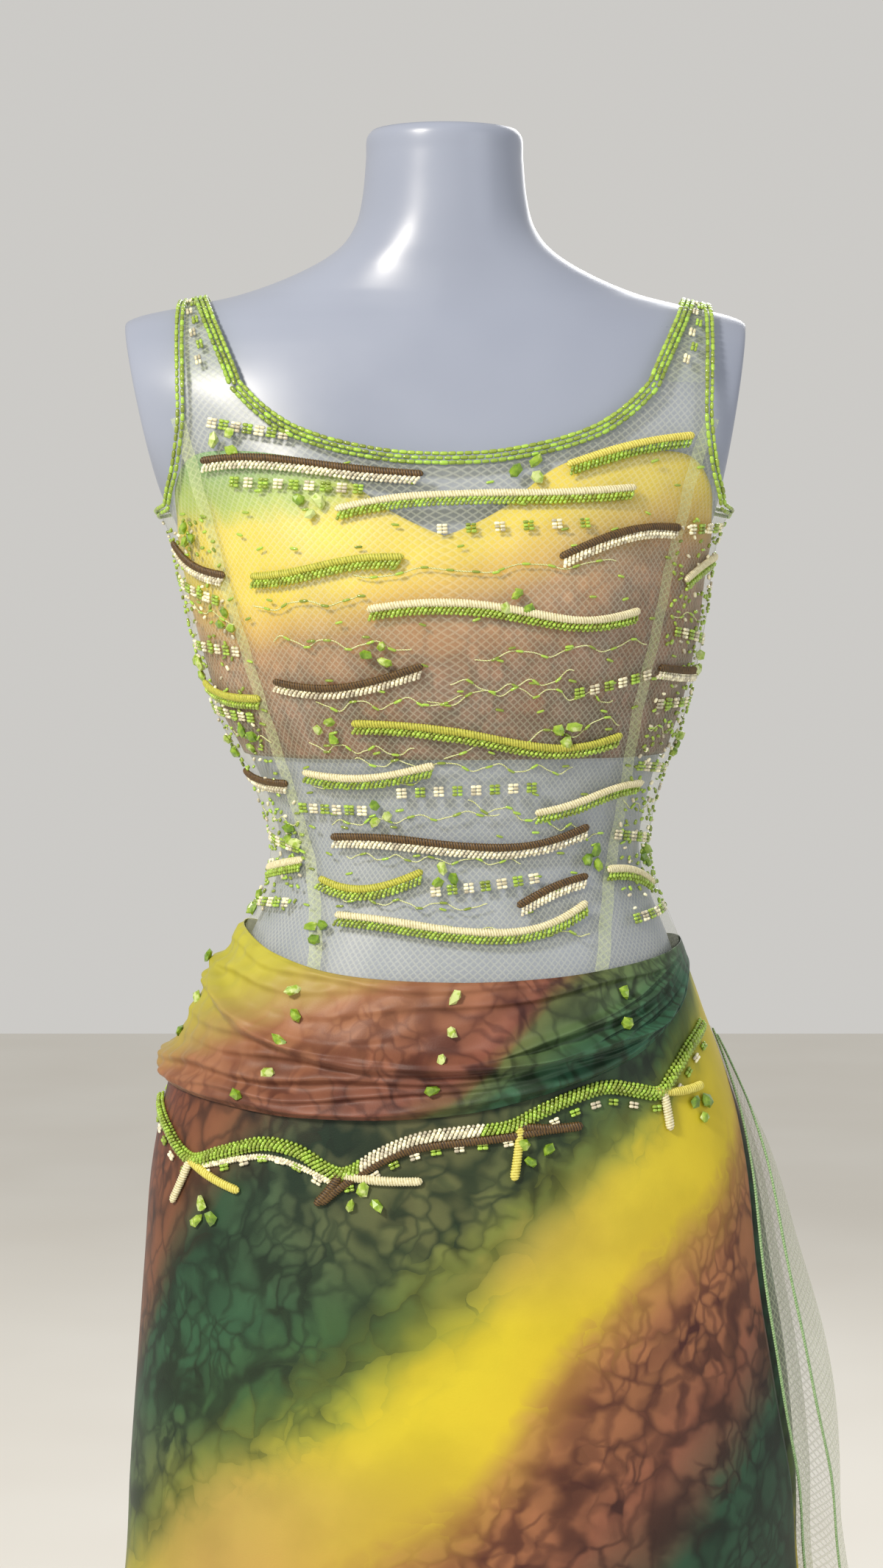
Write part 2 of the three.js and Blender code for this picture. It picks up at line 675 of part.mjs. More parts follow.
const scoopAt = (facing, x) => follow(facing === FRONT ? FRONT_SCOOP : BACK_SCOOP, "x", "z", Math.abs(x));
const seamLine = (z) => (z < SEAM_START ? follow(PRINCESS, "z", "out", z) : follow(ARMHOLE, "z", "out", z));

// The bodice's middle leans with the form's shift below the armholes.
const middleAt = (z) => follow(FORM, "z", "shift", z) * smooth((SEAM_START - z) / 60);

// The edge between a middle and a side panel, in (angle, height): the princess seam, then the armhole.
function princessEdge(side, facing, inset, top) {
  const foot = waistSeam(facing * (90 - side * 35) * RAD) + WAIST_GAP;
  return (v) => {
    const z = mix(foot, top, v);
    return [angleAt(side * (seamLine(z) - inset) + middleAt(z), z, facing), z];
  };
}

// The foot of a panel runs above the waist seam between two edges.
function waistFoot(left, right) {
  const [[t0, z0], [t1, z1]] = [left(0), right(0)];
  return (u) => {
    const t = mix(t0, t1, u);
    const seam = waistSeam(t) + WAIST_GAP;
    return [t, mix(seam, mix(z0, z1, u), Math.abs(2 * u - 1) ** 8)];
  };
}

function middlePanel(facing, name, columns) {
  const left = princessEdge(-1, facing, SEAM_GAP, STRAP_ROOT - SEAM_GAP);
  const right = princessEdge(1, facing, SEAM_GAP, STRAP_ROOT - SEAM_GAP);
  const edge = STRAP.outerRoot - SEAM_GAP;
  const top = (u) => {
    const x = mix(-edge, edge, u);
    const z = Math.abs(x) >= STRAP.innerRoot ? STRAP_ROOT - SEAM_GAP : scoopAt(facing, x);
    return [angleAt(x, z, facing), z];
  };
  const inner = STRAP.innerRoot / edge;
  const scoop = steps(columns).map((k) => mix(1 - inner, 1 + inner, k) / 2);
  const us = [0, (1 - inner) / 4, ...scoop, (3 + inner) / 4, 1];
  panel(name, us, PANEL_ROWS, patch(waistFoot(left, right), top, left, right));
}

// Side panel from the princess seam to the side seam, its top cut to the armhole.
function sidePanel(side, facing, name) {
  const seam = princessEdge(side, facing, -SEAM_GAP, SEAM_START);
  const edge = sideSeam(side, facing);
  const back = (v) => [edge, mix(waistSeam(edge) + WAIST_GAP, UNDERARM, v)];
  const top = (u) => armholeAt(side, facing, 1 - u);
  panel(name, steps(ARMHOLE_STEPS), SIDE_ROWS, patch(waistFoot(seam, back), top, seam, back));
}

// The angle of the side seam, as a panel in front or behind reaches it.
const sideSeam = (side, facing) => facing * (side > 0 ? SIDE_GAP : 180 - SIDE_GAP) * RAD;

// The armhole's edge on the front or back, from the underarm, 0, to the top of the princess seam, 1.
function armholeAt(side, facing, k) {
  const z = mix(UNDERARM, SEAM_START, k ** 1.6);
  const t = angleAt(side * follow(ARMHOLE, "z", "out", z), z, facing);
  return [mix(sideSeam(side, facing), t, smooth(k * 5)), z];
}

function panel(name, us, vs, at) {
  const point = (u, v, side) => liftFrom(clothBody, ...at(u, v), NET_LIFT + side * CLOTH);
  add(name, wall(us, vs, false, point), "net");
}

// Straps run over the shoulder: a ray from inside the shoulder at each angle finds the form's surface.

function formField(x, y, z) {
  const { half, front, back, shift, power } = sectionAt(FORM, z);
  const depth = y < 0 ? front : back;
  return (Math.abs(x - shift) / half) ** power + (Math.abs(y) / depth) ** power - 1;
}

function shoulderAt(x, turn, lift) {
  const [dy, dz] = [-Math.cos(turn), Math.sin(turn)];
  let [near, far] = [0, 120];
  for (let i = 0; i < 40; i++) {
    const r = (near + far) / 2;
    if (formField(x, r * dy, STRAP_ROOT + r * dz) < 0) near = r;
    else far = r;
  }
  const p = new THREE.Vector3(x, near * dy, STRAP_ROOT + near * dz);
  const d = 0.5;
  const slope = (a, b) => formField(...a) - formField(...b);
  const normal = new THREE.Vector3(
    slope([p.x + d, p.y, p.z], [p.x - d, p.y, p.z]),
    slope([p.x, p.y + d, p.z], [p.x, p.y - d, p.z]),
    slope([p.x, p.y, p.z + d], [p.x, p.y, p.z - d]),
  ).normalize();
  return p.addScaledVector(normal, lift);
}

const strapInner = (k) => mix(STRAP.innerRoot, STRAP.innerCrest, Math.sin(Math.PI * k));
const strapLift = (k) => mix(NET_LIFT, STRAP.crestLift, Math.sin(Math.PI * k));
const strapOuter = (k) => mix(STRAP.outerRoot, STRAP.outerCrest, Math.sin(Math.PI * k));

function strap(side, name) {
  const start = 0.6 * RAD;
  const point = (u, v, k) => {
    const x = side * mix(strapInner(v), strapOuter(v), u);
    return shoulderAt(x, mix(start, Math.PI - start, v), strapLift(v) + k * CLOTH);
  };
  add(name, wall(steps(2), steps(14), false, point), "net");
}

// Beaded edges: a flat band that follows a closed line on the cloth, lying to the cloth side of it.
function edgeBand(name, line, width) {
  const count = line.length;
  const rings = line.map((surface, i) => {
    const p = surface(TRIM_LIFT);
    const next = line[(i + 1) % count](NET_LIFT);
    const last = line[(i + count - 1) % count](NET_LIFT);
    const out = surface(NET_LIFT + 10).sub(surface(NET_LIFT)).normalize();
    const inward = next.sub(last).cross(out).normalize();
    const corner = (across, up) => p.clone().addScaledVector(inward, across).addScaledVector(out, up);
    return [
      corner(EDGE_INSET, 0),
      corner(width, EDGE_STAND),
      corner(width, EDGE_THICK),
      corner(EDGE_INSET, EDGE_THICK),
    ];
  });
  add(name, bar(rings, true), "beads");
}

const onBody = (t, z) => (lift) => liftFrom(clothBody, t, z, lift);
const onShoulder = (x, k) => (lift) => shoulderAt(x, k * Math.PI, lift - NET_LIFT + strapLift(k));

function neckEdge() {
  const scoop = (facing, from, to, count) =>
    steps(count).map((k) => {
      const x = mix(from, to, k);
      const z = scoopAt(facing, x);
      return onBody(angleAt(x, z, facing), z);
    });
  const over = (side, ks) => ks.map((k) => onShoulder(side * strapInner(k), k));
  const climb = steps(14).slice(1, -1);
  const loop = [
    ...scoop(FRONT, -STRAP.innerRoot, STRAP.innerRoot, 18),
    ...over(1, climb),
    ...scoop(BACK, STRAP.innerRoot, -STRAP.innerRoot, 14),
    ...over(-1, climb.slice().reverse()),
  ];
  edgeBand("neck_edge", loop, NECK_EDGE_WIDTH);
}

function armEdge(side, name) {
  const rise = (facing) => {
    const lower = steps(ARMHOLE_STEPS).map((k) => onBody(...armholeAt(side, facing, k)));
    const z = mix(SEAM_START, STRAP_ROOT, 0.5);
    return [...lower, onBody(angleAt(side * follow(ARMHOLE, "z", "out", z), z, facing), z)];
  };
  const over = steps(14).map((k) => onShoulder(side * strapOuter(k), k));
  const loop = [...rise(FRONT), ...over, ...rise(BACK).reverse().slice(0, -1)];
  edgeBand(name, side > 0 ? loop.reverse() : loop, ARM_EDGE_WIDTH);
}

// Silk bandeau under the net

function bandeau() {
  const top = (t) => {
    const turn = Math.abs((((t + Math.PI / 2) / RAD + 540) % 360) - 180);
    return follow(BANDEAU_TOP, "turn", "z", turn);
  };
  const point = (u, v, side) => {
    const t = u * 2 * Math.PI;
    return liftFrom(clothBody, t, mix(BANDEAU_FOOT, top(t), v), BANDEAU_LIFT + side * CLOTH);
  };
  add("bandeau", wall(ringSteps(44), steps(8), true, point), "bandeau");
}

// Hip yoke: a sash round the hips with long drape folds in its outer face

function yokeFoldAt(t, v) {
  const turn = (t + Math.PI / 2) / Math.PI;
  let out = 0;
  for (const { at, proud, tilt, width } of YOKE_FOLDS) {
    const middle = at + tilt * Math.sin(2 * Math.PI * turn + at * 9);
    out += proud * Math.exp(-(((v - middle) / width) ** 2));
  }
  return out;
}

// The yoke's own thickness, which thins out where the sash runs to a point at the right side.
function yokeThickness(t, v) {
  const narrow = smooth((yokeTop(t) - yokeFoot(t) - YOKE_POINT.tall) / YOKE_POINT.over);
  return CLOTH + narrow * (YOKE_POINT.body + yokeFoldAt(t, v));
}

function yoke() {
  const inside = YOKE_LIFT - NET_LIFT;
  const point = (u, v, side) => {
    const t = u * 2 * Math.PI;
    const z = mix(yokeFoot(t), yokeTop(t), v);
    return liftFrom(skirtAt, t, z, inside + side * yokeThickness(t, v));
  };
  let solid = toManifold(wall(ringSteps(44), steps(7), true, point));
  YOKE_CHIPS.forEach(({ turn, z }, i) => {
    const t = turnAngle(turn);
    const v = (z - yokeFoot(t)) / (yokeTop(t) - yokeFoot(t));
    solid = solid.add(toManifold(chip(t, z, inside + yokeThickness(t, v), i)));
  });
  add("hip_yoke", fromManifold(solid), "yoke");
}

// A four-sided stone chip on the skirt's surface, its outer face smaller and each one turned differently.
function chip(t, z, lift, number) {
  const { across, tall, proud, sunk, taper } = CHIP;
  const perTurn = metricAt(skirtAt, t, z);
  const spin = number * 0.9;
  const ring = (share, up) =>
    ringSteps(4).map((k) => {
      const corner = spin + k * 2 * Math.PI;
      const dt = (Math.cos(corner) * share * across) / 2 / perTurn;
      return liftFrom(skirtAt, t + dt, z + (Math.sin(corner) * share * tall) / 2, up);
    });
  return bar([ring(1, lift - sunk), ring(taper, lift + proud)], false);
}

// Skirt panels

function skirtPanel(name, from, to, columns, finish) {
  const point = (u, v, side) => {
    const top = waistSeam(mix(from(SLIT_TOP), to(SLIT_TOP), u)) - WAIST_GAP;
    const z = mix(top, HEM, v);
    return liftFrom(skirtAt, mix(from(z), to(z), u), z, side * CLOTH);
  };
  add(name, wall(steps(columns), HANG_ROWS, false, point), finish);
}

const slitAt = (z) => (z > SLIT_TOP ? 0 : follow(SLIT_EDGE, "z", "turn", z));
const slitOpen = (z) => SLIT_GAPE.most * smooth((SLIT_TOP - z) / SLIT_GAPE.over);

function skirt() {
  const left = (facing) => () => facing * (180 - SIDE_GAP) * RAD;
  skirtPanel("skirt_front", left(FRONT), (z) => (-SIDE_GAP - slitAt(z)) * RAD, 25, "silk");
  skirtPanel("skirt_back", (z) => (SIDE_GAP - slitAt(z) + slitOpen(z)) * RAD, left(BACK), 27, "silkBack");
}

// Net panels: they hang from under the rope's right end, hug the hip and flare away from the silk lower down.
function netPanel({ name, from, to, top, layer, flare, sides }) {
  const point = (u, v, side) => {
    const z = mix(top, HEM + NET_SHORT, v);
    const t = mix(from - slitAt(z), to, u) * RAD;
    const fall = (top - z) / (top - HEM);
    const standing = mix(sides, 1, Math.sin(Math.PI * u));
    const open = (1 - Math.exp(-NET_FLARE_RATE * fall)) / (1 - Math.exp(-NET_FLARE_RATE));
    const rest = SKIRT_TRIM_LIFT + layer * (CLOTH + 1);
    return liftFrom(skirtAt, t, z, rest + flare * open * standing + side * CLOTH);
  };
  add(name, wall(steps(7), HANG_ROWS, false, point), "net");
}

// Embroidery: bars laid along a line on a surface, each of their points taken from the surface and moved out.

function metricAt(surface, t, z) {
  const dt = 0.01;
  return surface(t + dt, z).distanceTo(surface(t - dt, z)) / (2 * dt);
}

// A bar along a line of [angle, height] points: flat below, its top narrower by the shoulder share.
function laidBar(surface, line, width, lift, thick) {
  const rings = line.map(([t, z], i) => {
    const [ta, za] = line[Math.max(0, i - 1)];
    const [tb, zb] = line[Math.min(line.length - 1, i + 1)];
    const perTurn = metricAt(surface, t, z);
    const run = [(tb - ta) * perTurn, zb - za];
    const long = Math.hypot(...run);
    const across = [(-run[1] / long) * (width / 2 / perTurn), (run[0] / long) * (width / 2)];
    const point = (side, up) => liftFrom(surface, t + side * across[0], z + side * across[1], up);
    return [
      point(-1, lift),
      point(1, lift),
      point(BAR_SHOULDER, lift + thick),
      point(-BAR_SHOULDER, lift + thick),
    ];
  });
  return bar(rings, false);
}

const turnAngle = (turn) => (turn - 90) * RAD;
const BAR_STEP = 7; // degrees between the rings of a bar

function strips() {
  STRIPS.forEach(({ turn0, z0, turn1, z1, sag, cord }, i) => {
    const count = Math.max(3, Math.round(Math.abs(turn1 - turn0) / BAR_STEP));
    const line = steps(count).map((k) => {
      const z = mix(z0, z1, k) - sag * Math.sin(Math.PI * k);
      return [turnAngle(mix(turn0, turn1, k)), z];
    });
    const name = "strip_" + String(i + 1).padStart(2, "0") + "_" + cord;
    add(name, laidBar(clothBody, line, STRIP_WIDTH, TRIM_LIFT, STRIP_THICK), cord);
  });
}

function ropes() {
  for (const { name, route, twigs } of ROPES) {
    const [first, last] = [route[0].turn, route[route.length - 1].turn];
    const count = Math.round((last - first) / 5);
    const line = steps(count).map((k) => {
      const turn = mix(first, last, k);
      return [turnAngle(turn), follow(route, "turn", "z", turn)];
    });
    let solid = toManifold(laidBar(skirtAt, line, ROPE_WIDTH, SKIRT_TRIM_LIFT, ROPE_THICK));
    for (const { turn, z, toTurn, toZ } of twigs) {
      const twig = steps(4).map((k) => [turnAngle(mix(turn, toTurn, k)), mix(z, toZ, k)]);
      const thick = ROPE_THICK * TWIG_SHARE;
      solid = solid.add(toManifold(laidBar(skirtAt, twig, TWIG_WIDTH, SKIRT_TRIM_LIFT + TWIG_CLEAR, thick)));
    }
    add(name, fromManifold(solid), "beads");
  }
}

form();
stand();
bandeau();
middlePanel(FRONT, "bodice_front", 14);
sidePanel(-1, FRONT, "bodice_side_front_left");
sidePanel(1, FRONT, "bodice_side_front_right");
middlePanel(BACK, "bodice_back", 9);
sidePanel(-1, BACK, "bodice_side_back_left");
sidePanel(1, BACK, "bodice_side_back_right");
strap(-1, "strap_left");
strap(1, "strap_right");
neckEdge();
armEdge(-1, "arm_edge_left");
armEdge(1, "arm_edge_right");
strips();
yoke();
skirt();
NETS.forEach(netPanel);
ropes();

export default dress;
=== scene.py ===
"""A sleeveless evening dress on a limbless shop form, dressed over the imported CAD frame.

A sheer embroidered net bodice lies over a painted silk bandeau; a gathered sash crosses the hips above a
beaded rope, and a long painted silk skirt with a side slit hangs below it, with two net panels in the slit.
All lengths in the tables are millimetres; the dress faces -Y and stands on the floor at z = 0.
A turn is an angle round the body in degrees: 0 in front, 90 at the side seen on the right, 180 behind.
"""

import math

import bmesh
import bpy
import numpy as np
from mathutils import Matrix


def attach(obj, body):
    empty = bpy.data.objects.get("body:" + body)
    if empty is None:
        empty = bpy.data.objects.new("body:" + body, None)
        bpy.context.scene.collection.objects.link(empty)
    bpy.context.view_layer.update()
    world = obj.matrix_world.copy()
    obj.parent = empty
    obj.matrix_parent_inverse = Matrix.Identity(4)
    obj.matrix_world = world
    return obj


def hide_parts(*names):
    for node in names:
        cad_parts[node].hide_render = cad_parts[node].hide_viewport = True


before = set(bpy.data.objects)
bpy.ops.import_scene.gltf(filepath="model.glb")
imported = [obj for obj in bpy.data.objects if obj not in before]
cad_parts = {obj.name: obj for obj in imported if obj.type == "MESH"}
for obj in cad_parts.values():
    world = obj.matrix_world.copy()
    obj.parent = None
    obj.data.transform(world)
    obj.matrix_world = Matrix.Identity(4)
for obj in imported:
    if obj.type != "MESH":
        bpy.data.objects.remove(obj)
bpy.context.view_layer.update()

MM = 0.001
RAD = math.pi / 180
rng = np.random.default_rng(7)


# ---- Small mathematics


def smooth(x):
    """Eases from 0 at x = 0 to 1 at x = 1, level at both ends."""
    k = np.clip(x, 0, 1)
    return k * k * (3 - 2 * k)


def mix(a, b, k):
    return a + (b - a) * k


def spow(x, p):
    """A power that keeps the sign of x."""
    return np.sign(x) * np.abs(x) ** p


def bell(x):
    return np.exp(-(x**2))


def unit(v):
    return v / np.maximum(np.linalg.norm(v, axis=-1, keepdims=True), 1e-9)


def listed(text):
    """Rows that commas part, each of numbers and words that spaces part."""
    found = []
    for row in text.split(","):
        found.append([float(word) if word.strip("-.0123456789") == "" else word for word in row.split()])
    return found


def table(text):
    """The rows of a text as one array for each of the names in its first row."""
    names, *numbers = listed(text)
    return dict(zip(names, np.array(numbers).T))


def follow(rows, by, name, x):
    """A table's column at x: a cubic through its rows, each row's slope taken from its neighbours."""
    xs, ys = rows[by], rows[name]
    slope = np.empty_like(ys)
    slope[1:-1] = (ys[2:] - ys[:-2]) / (xs[2:] - xs[:-2])
    slope[0] = (ys[1] - ys[0]) / (xs[1] - xs[0])
    slope[-1] = (ys[-1] - ys[-2]) / (xs[-1] - xs[-2])
    x = np.clip(x, xs[0], xs[-1])
    i = np.clip(np.searchsorted(xs, x, side="right") - 1, 0, len(xs) - 2)
    step = xs[i + 1] - xs[i]
    k = (x - xs[i]) / step
    k2 = k * k
    k3 = k2 * k
    return (
        ys[i] * (2 * k3 - 3 * k2 + 1)
        + slope[i] * step * (k3 - 2 * k2 + k)
        + ys[i + 1] * (3 * k2 - 2 * k3)
        + slope[i + 1] * step * (k3 - k2)
    )


# ---- Sizes of the form and the dress, as in the CAD source

HEM = 40
STRAP_ROOT = 1340
UNDERARM = 1268
SEAM_START = 1320
BANDEAU_FOOT = 1112
SLIT_TOP = 930
CLOTH = 1.2
BANDEAU_LIFT = 1.5
NET_LIFT = 4.95
ON_NET = NET_LIFT + CLOTH
ON_SILK = CLOTH
YOKE_INSIDE = 2.1
YOKE_OVERLAP = 10
WAIST_GAP = 0.8
STRAP = {"inner_root": 123, "inner_crest": 149, "outer_root": 163, "outer_crest": 167, "crest_lift": 1.4}
BUST = {"height": 1215, "apart": 75, "across": 60, "tall": 68, "proud": 25, "turn": 0.6}
HIP_HOLD = {"free": 880, "tight": 950}
FLUTES = ({"count": 9, "proud": 11, "start": 20}, {"count": 5, "proud": 6, "start": 75})
FLUTE_TOP = 760
SLIT_GAPE = {"most": 3, "over": 120}
ARM_CUTS = ({"side": -1, "out": 203.5, "slope": 0.215}, {"side": 1, "out": 191.5, "slope": 0.165})
ARM_CUT_HEIGHT = 1387
ARM_CUT_ROUND = 1.6
ARM_CUT_FOOT = 1238

FORM = table(
    """
    z half front back shift power, 700 148 86 96 0 2.3, 740 160 95 106 0 2.3, 800 172 103 117 0 2.3,
    865 176 107 120 1 2.3, 905 169 107 114 2 2.3, 945 156 104 103 4 2.3, 990 135 96 88 9 2.25,
    1045 115 86 76 10 2.2, 1090 123 89 78 8 2.2, 1140 144 96 84 4 2.25, 1190 157 96 90 2 2.3,
    1230 164 92 95 0 2.35, 1255 170 89 97 0 2.4, 1280 184 86 97 -1 2.45, 1310 202 81 94 -3 2.45,
    1340 213 75 86 -5 2.3, 1365 211 68 74 -6 2, 1380 200 62 65 -6 1.75, 1387 186 59 61 -6 1.6,
    1393 158 57 58 -5 1.6, 1400 127 55 56 -3 1.7, 1413 93 53 54 -1 1.85, 1427 69 52 53 0 2,
    1442 57 51 52 0 2, 1460 52 50 51 0 2, 1485 49.5 49 50 0 2, 1498 49 48.5 49.5 0 2, 1502 46 45.5 46.5 0 2
    """
)
SKIRT = table(
    """
    z half front back shift power, 40 266 180 196 12 2.1, 200 252 168 184 14 2.1, 400 235 152 168 14 2.15,
    590 216 138 153 11.5 2.2, 650 214 134 149 12 2.2, 724 208 128 142 11 2.2, 790 200 123 136 8 2.25,
    845 193 119 131 5.5 2.25, 900 180 114 124 3 2.3, 960 166 110 114 4 2.3
    """
)
PRINCESS = table(
    """
    z out, 960 86, 1000 86, 1045 89, 1075 95, 1105 102, 1144 111, 1180 120, 1232 134, 1291 151, 1320 162
    """
)
FRONT_SCOOP = table("x z, 0 1295, 25 1296, 45 1299, 70 1305, 92 1314, 110 1327, 123 1340")
BACK_SCOOP = table("x z, 0 1312, 45 1315, 80 1322, 107 1332, 123 1340")
ARMHOLE = table("z out, 1268 169, 1273 169, 1280 167.5, 1290 165, 1305 163, 1320 162, 1340 163")
YOKE_EDGES = table(
    """
    across top foot, -1 999 902, -0.8 987 898, -0.5 978 893, 0 975 896, 0.4 977 912, 0.68 981 929,
    0.88 985 951, 1 989 975
    """
)
BANDEAU_TOP = table(
    """
    turn z, 0 1246, 8 1262, 17 1288, 26 1296, 38 1299, 48 1296, 60 1280, 74 1256, 90 1238, 110 1232,
    180 1236
    """
)
SLIT_EDGE = table("z turn, 40 12, 400 11, 590 11, 640 14, 700 20, 770 22, 845 17, 900 7, 930 0")

# ---- Surfaces: each takes angles t (radians from +X, anticlockwise from above) and heights, gives points


def section(sizes, z):
    return [follow(sizes, "z", name, z) for name in ("half", "front", "back", "shift", "power")]


def body(t, z, bridged=True):
    """The torso: shift + half |cos t|^(2/power) across and depth |sin t|^(2/power) deep, with the bust's
    bell-shaped rises added in front, bridged into one where cloth spans them."""
    t, z = np.broadcast_arrays(np.asarray(t, float), np.asarray(z, float))
    half, front, back, shift, power = section(FORM, z)
    out = half * spow(np.cos(t), 2 / power)
    deep = np.where(np.sin(t) < 0, front, back) * spow(np.sin(t), 2 / power)
    level = bell((z - BUST["height"]) / BUST["tall"])
    if bridged:
        wide = bell(np.maximum(0, np.abs(out) - BUST["apart"]) / BUST["across"])
    else:
        wide = bell((out - BUST["apart"]) / BUST["across"]) + bell((out + BUST["apart"]) / BUST["across"])
    rise = smooth(-np.sin(t) / BUST["turn"]) * BUST["proud"] * level * wide
    return np.stack([shift + out, deep - rise, z], axis=-1)


def lifted(surface, t, z, lift):
    """A surface's points moved out along its normal, which comes from two short steps on the surface."""
    t, z = np.broadcast_arrays(np.asarray(t, float), np.asarray(z, float))
    along = surface(t + 0.01, z) - surface(t - 0.01, z)
    up = surface(t, z + 1) - surface(t, z - 1)
    return surface(t, z) + unit(np.cross(along, up)) * np.asarray(lift, float)[..., None]


def skirt(t, z):
    """The inside of the skirt: its own rounded sections with sine flutes that grow towards the hem, passing
    into the cloth of the hips above them."""
    t, z = np.broadcast_arrays(np.asarray(t, float), np.asarray(z, float))
    half, front, back, shift, power = section(SKIRT, z)
    fall = smooth((FLUTE_TOP - z) / (FLUTE_TOP - HEM))
    flute = sum(f["proud"] * fall * np.sin(f["count"] * (t - f["start"] * RAD)) for f in FLUTES)
    x = shift + half * spow(np.cos(t), 2 / power) + np.cos(t) * flute
    deep = np.where(np.sin(t) < 0, front, back)
    y = deep * spow(np.sin(t), 2 / power) + np.sin(t) * flute
    hung = np.stack([x, y, z], axis=-1)
    tight = smooth((z - HIP_HOLD["free"]) / (HIP_HOLD["tight"] - HIP_HOLD["free"]))[..., None]
    if not np.any(tight > 0):
        return hung
    return hung + (lifted(body, t, z, NET_LIFT) - hung) * tight


SHOULDER_REACH = 120.0  # of a ray from inside the shoulder, past its surface, mm
HALVINGS = 36


def form_field(x, y, z):
    """Below 0 inside the torso's rounded sections and above 0 outside."""
    half, front, back, shift, power = section(FORM, z)
    return (np.abs(x - shift) / half) ** power + (np.abs(y) / np.where(y < 0, front, back)) ** power - 1


def shoulder(x, turn, lift):
    """The shoulder's surface on a ray in the plane of x, from inside the shoulder at an angle that runs from
    0 in front over the top to pi behind, found by halving and moved out along the normal."""
    x, turn, lift = np.broadcast_arrays(*(np.asarray(v, float) for v in (x, turn, lift)))
    near, far = np.zeros(x.shape), np.full(x.shape, SHOULDER_REACH)
    for _ in range(HALVINGS):
        r = (near + far) / 2
        inside = form_field(x, -np.cos(turn) * r, STRAP_ROOT + np.sin(turn) * r) < 0
        near, far = np.where(inside, r, near), np.where(inside, far, r)
    p = [x, -np.cos(turn) * near, STRAP_ROOT + np.sin(turn) * near]
    slopes = []
    for axis in range(3):
        ahead = [v + 0.5 * (k == axis) for k, v in enumerate(p)]
        behind = [v - 0.5 * (k == axis) for k, v in enumerate(p)]
        slopes.append(form_field(*ahead) - form_field(*behind))
    return np.stack(p, axis=-1) + unit(np.stack(slopes, axis=-1)) * lift[..., None]


def turn_angle(turn):
    return (np.asarray(turn, float) - 90) * RAD


def angle_turn(t):
    """Degrees round from the front, from -90 at the left side on past the back to 270."""
    return (np.asarray(t) / RAD + 90 + 90.0001) % 360 - 90.0001


def angle_at(x, z, facing):
    """The angle at which the torso's section has a sideways place, in front (-1) or behind (1)."""
    half, _, _, shift, power = section(FORM, z)
    return facing * np.arccos(spow(np.clip((x - shift) / half, -1, 1), power / 2))


def yoke_edge(name, t):
    return follow(YOKE_EDGES, "across", name, spow(np.cos(t), 2 / 2.25))


def waist_seam(t):
    return yoke_edge("top", t) - YOKE_OVERLAP


# ---- Making meshes


def make_piece(name, points, faces, material, slot, replaced=(), uv=None, marks=None, weld=False, flat=False):
    """An object at the origin from points in millimetres and faces of one number of corners. uv and marks
    hold one value for each point and are kept on the faces' corners."""
    mesh = bpy.data.meshes.new(name)
    corners = np.asarray(faces, np.int32)
    mesh.vertices.add(np.asarray(points).size // 3)
    mesh.vertices.foreach_set("co", (np.asarray(points) * MM).astype(np.float32).ravel())
    mesh.loops.add(corners.size)
    mesh.polygons.add(len(corners))
    mesh.polygons.foreach_set("loop_start", np.arange(0, corners.size, corners.shape[1], dtype=np.int32))
    mesh.polygons.foreach_set("vertices", corners.ravel())
    mesh.update(calc_edges=True)
    if uv is not None:
        layer = mesh.uv_layers.new(name="cloth")
        layer.data.foreach_set("uv", np.asarray(uv, np.float32).reshape(-1, 2)[corners.ravel()].ravel())
    for mark, values in (marks or {}).items():
        attribute = mesh.attributes.new(mark, "FLOAT", "CORNER")
        attribute.data.foreach_set("value", np.asarray(values, np.float32).ravel()[corners.ravel()])
    if weld:
        bm = bmesh.new()
        bm.from_mesh(mesh)
        bmesh.ops.remove_doubles(bm, verts=bm.verts, dist=1e-6)
        bm.to_mesh(mesh)
        bm.free()
    mesh.polygons.foreach_set("use_smooth", np.full(len(mesh.polygons), not flat))
    mesh.materials.append(material)
    piece = bpy.data.objects.new(name, mesh)
    bpy.context.scene.collection.objects.link(piece)
    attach(piece, "root")
    if replaced:
        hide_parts(*replaced)
    return piece


def grid_faces(rows, columns):
    """Quads of a grid stored row by row, facing out where columns run anticlockwise and rows run up."""
    at = np.arange(rows * columns).reshape(rows, columns)
    return np.stack([at[:-1, :-1], at[:-1, 1:], at[1:, 1:], at[1:, :-1]], axis=-1).reshape(-1, 4)


def tube_faces(rings, sides):
    """Quads of a tube through rings of points, both of its ends closed by a fan of quads."""
    at = np.arange(rings * sides).reshape(rings, sides)
    turn = np.roll(at, -1, axis=1)
    wall = np.stack([at[:-1], turn[:-1], turn[1:], at[1:]], axis=-1).reshape(-1, 4)
    fan = np.array([(0, k, k + 1, k + 2) for k in range(1, sides - 2, 2)])
    return np.concatenate([wall, fan[:, ::-1], fan + (rings - 1) * sides])


def many(shape, faces, centres, axes, sizes):
    """Copies of a small shape, or one of each of several: each one's three axes are rows, scaled by its
    sizes, and it is set at its centre."""
    points = shape @ (axes * sizes[..., None]) + centres[:, None, :]
    shifts = np.arange(len(centres)) * shape.shape[-2]
    return points.reshape(-1, 3), (faces[None] + shifts[:, None, None]).reshape(-1, faces.shape[1])


def gather(parts):
    """Several lots of points, faces and marks as one."""
    points, faces, marks, count = [], [], {}, 0
    for part in parts:
        points.append(part[0])
        faces.append(part[1] + count)
        for mark, value in (part[2] if len(part) > 2 else {}).items():
            marks.setdefault(mark, []).append(np.broadcast_to(value, len(part[0])))
        count += len(part[0])
    return np.concatenate(points), np.concatenate(faces), {m: np.concatenate(v) for m, v in marks.items()}


def join_pieces(name, parts, material, slot, replaced=(), **more):
    """One object from several lots of points, faces and marks."""
    points, faces, marks = gather(parts)
    make_piece(name, points, faces, material, slot, replaced, marks=marks, **more)


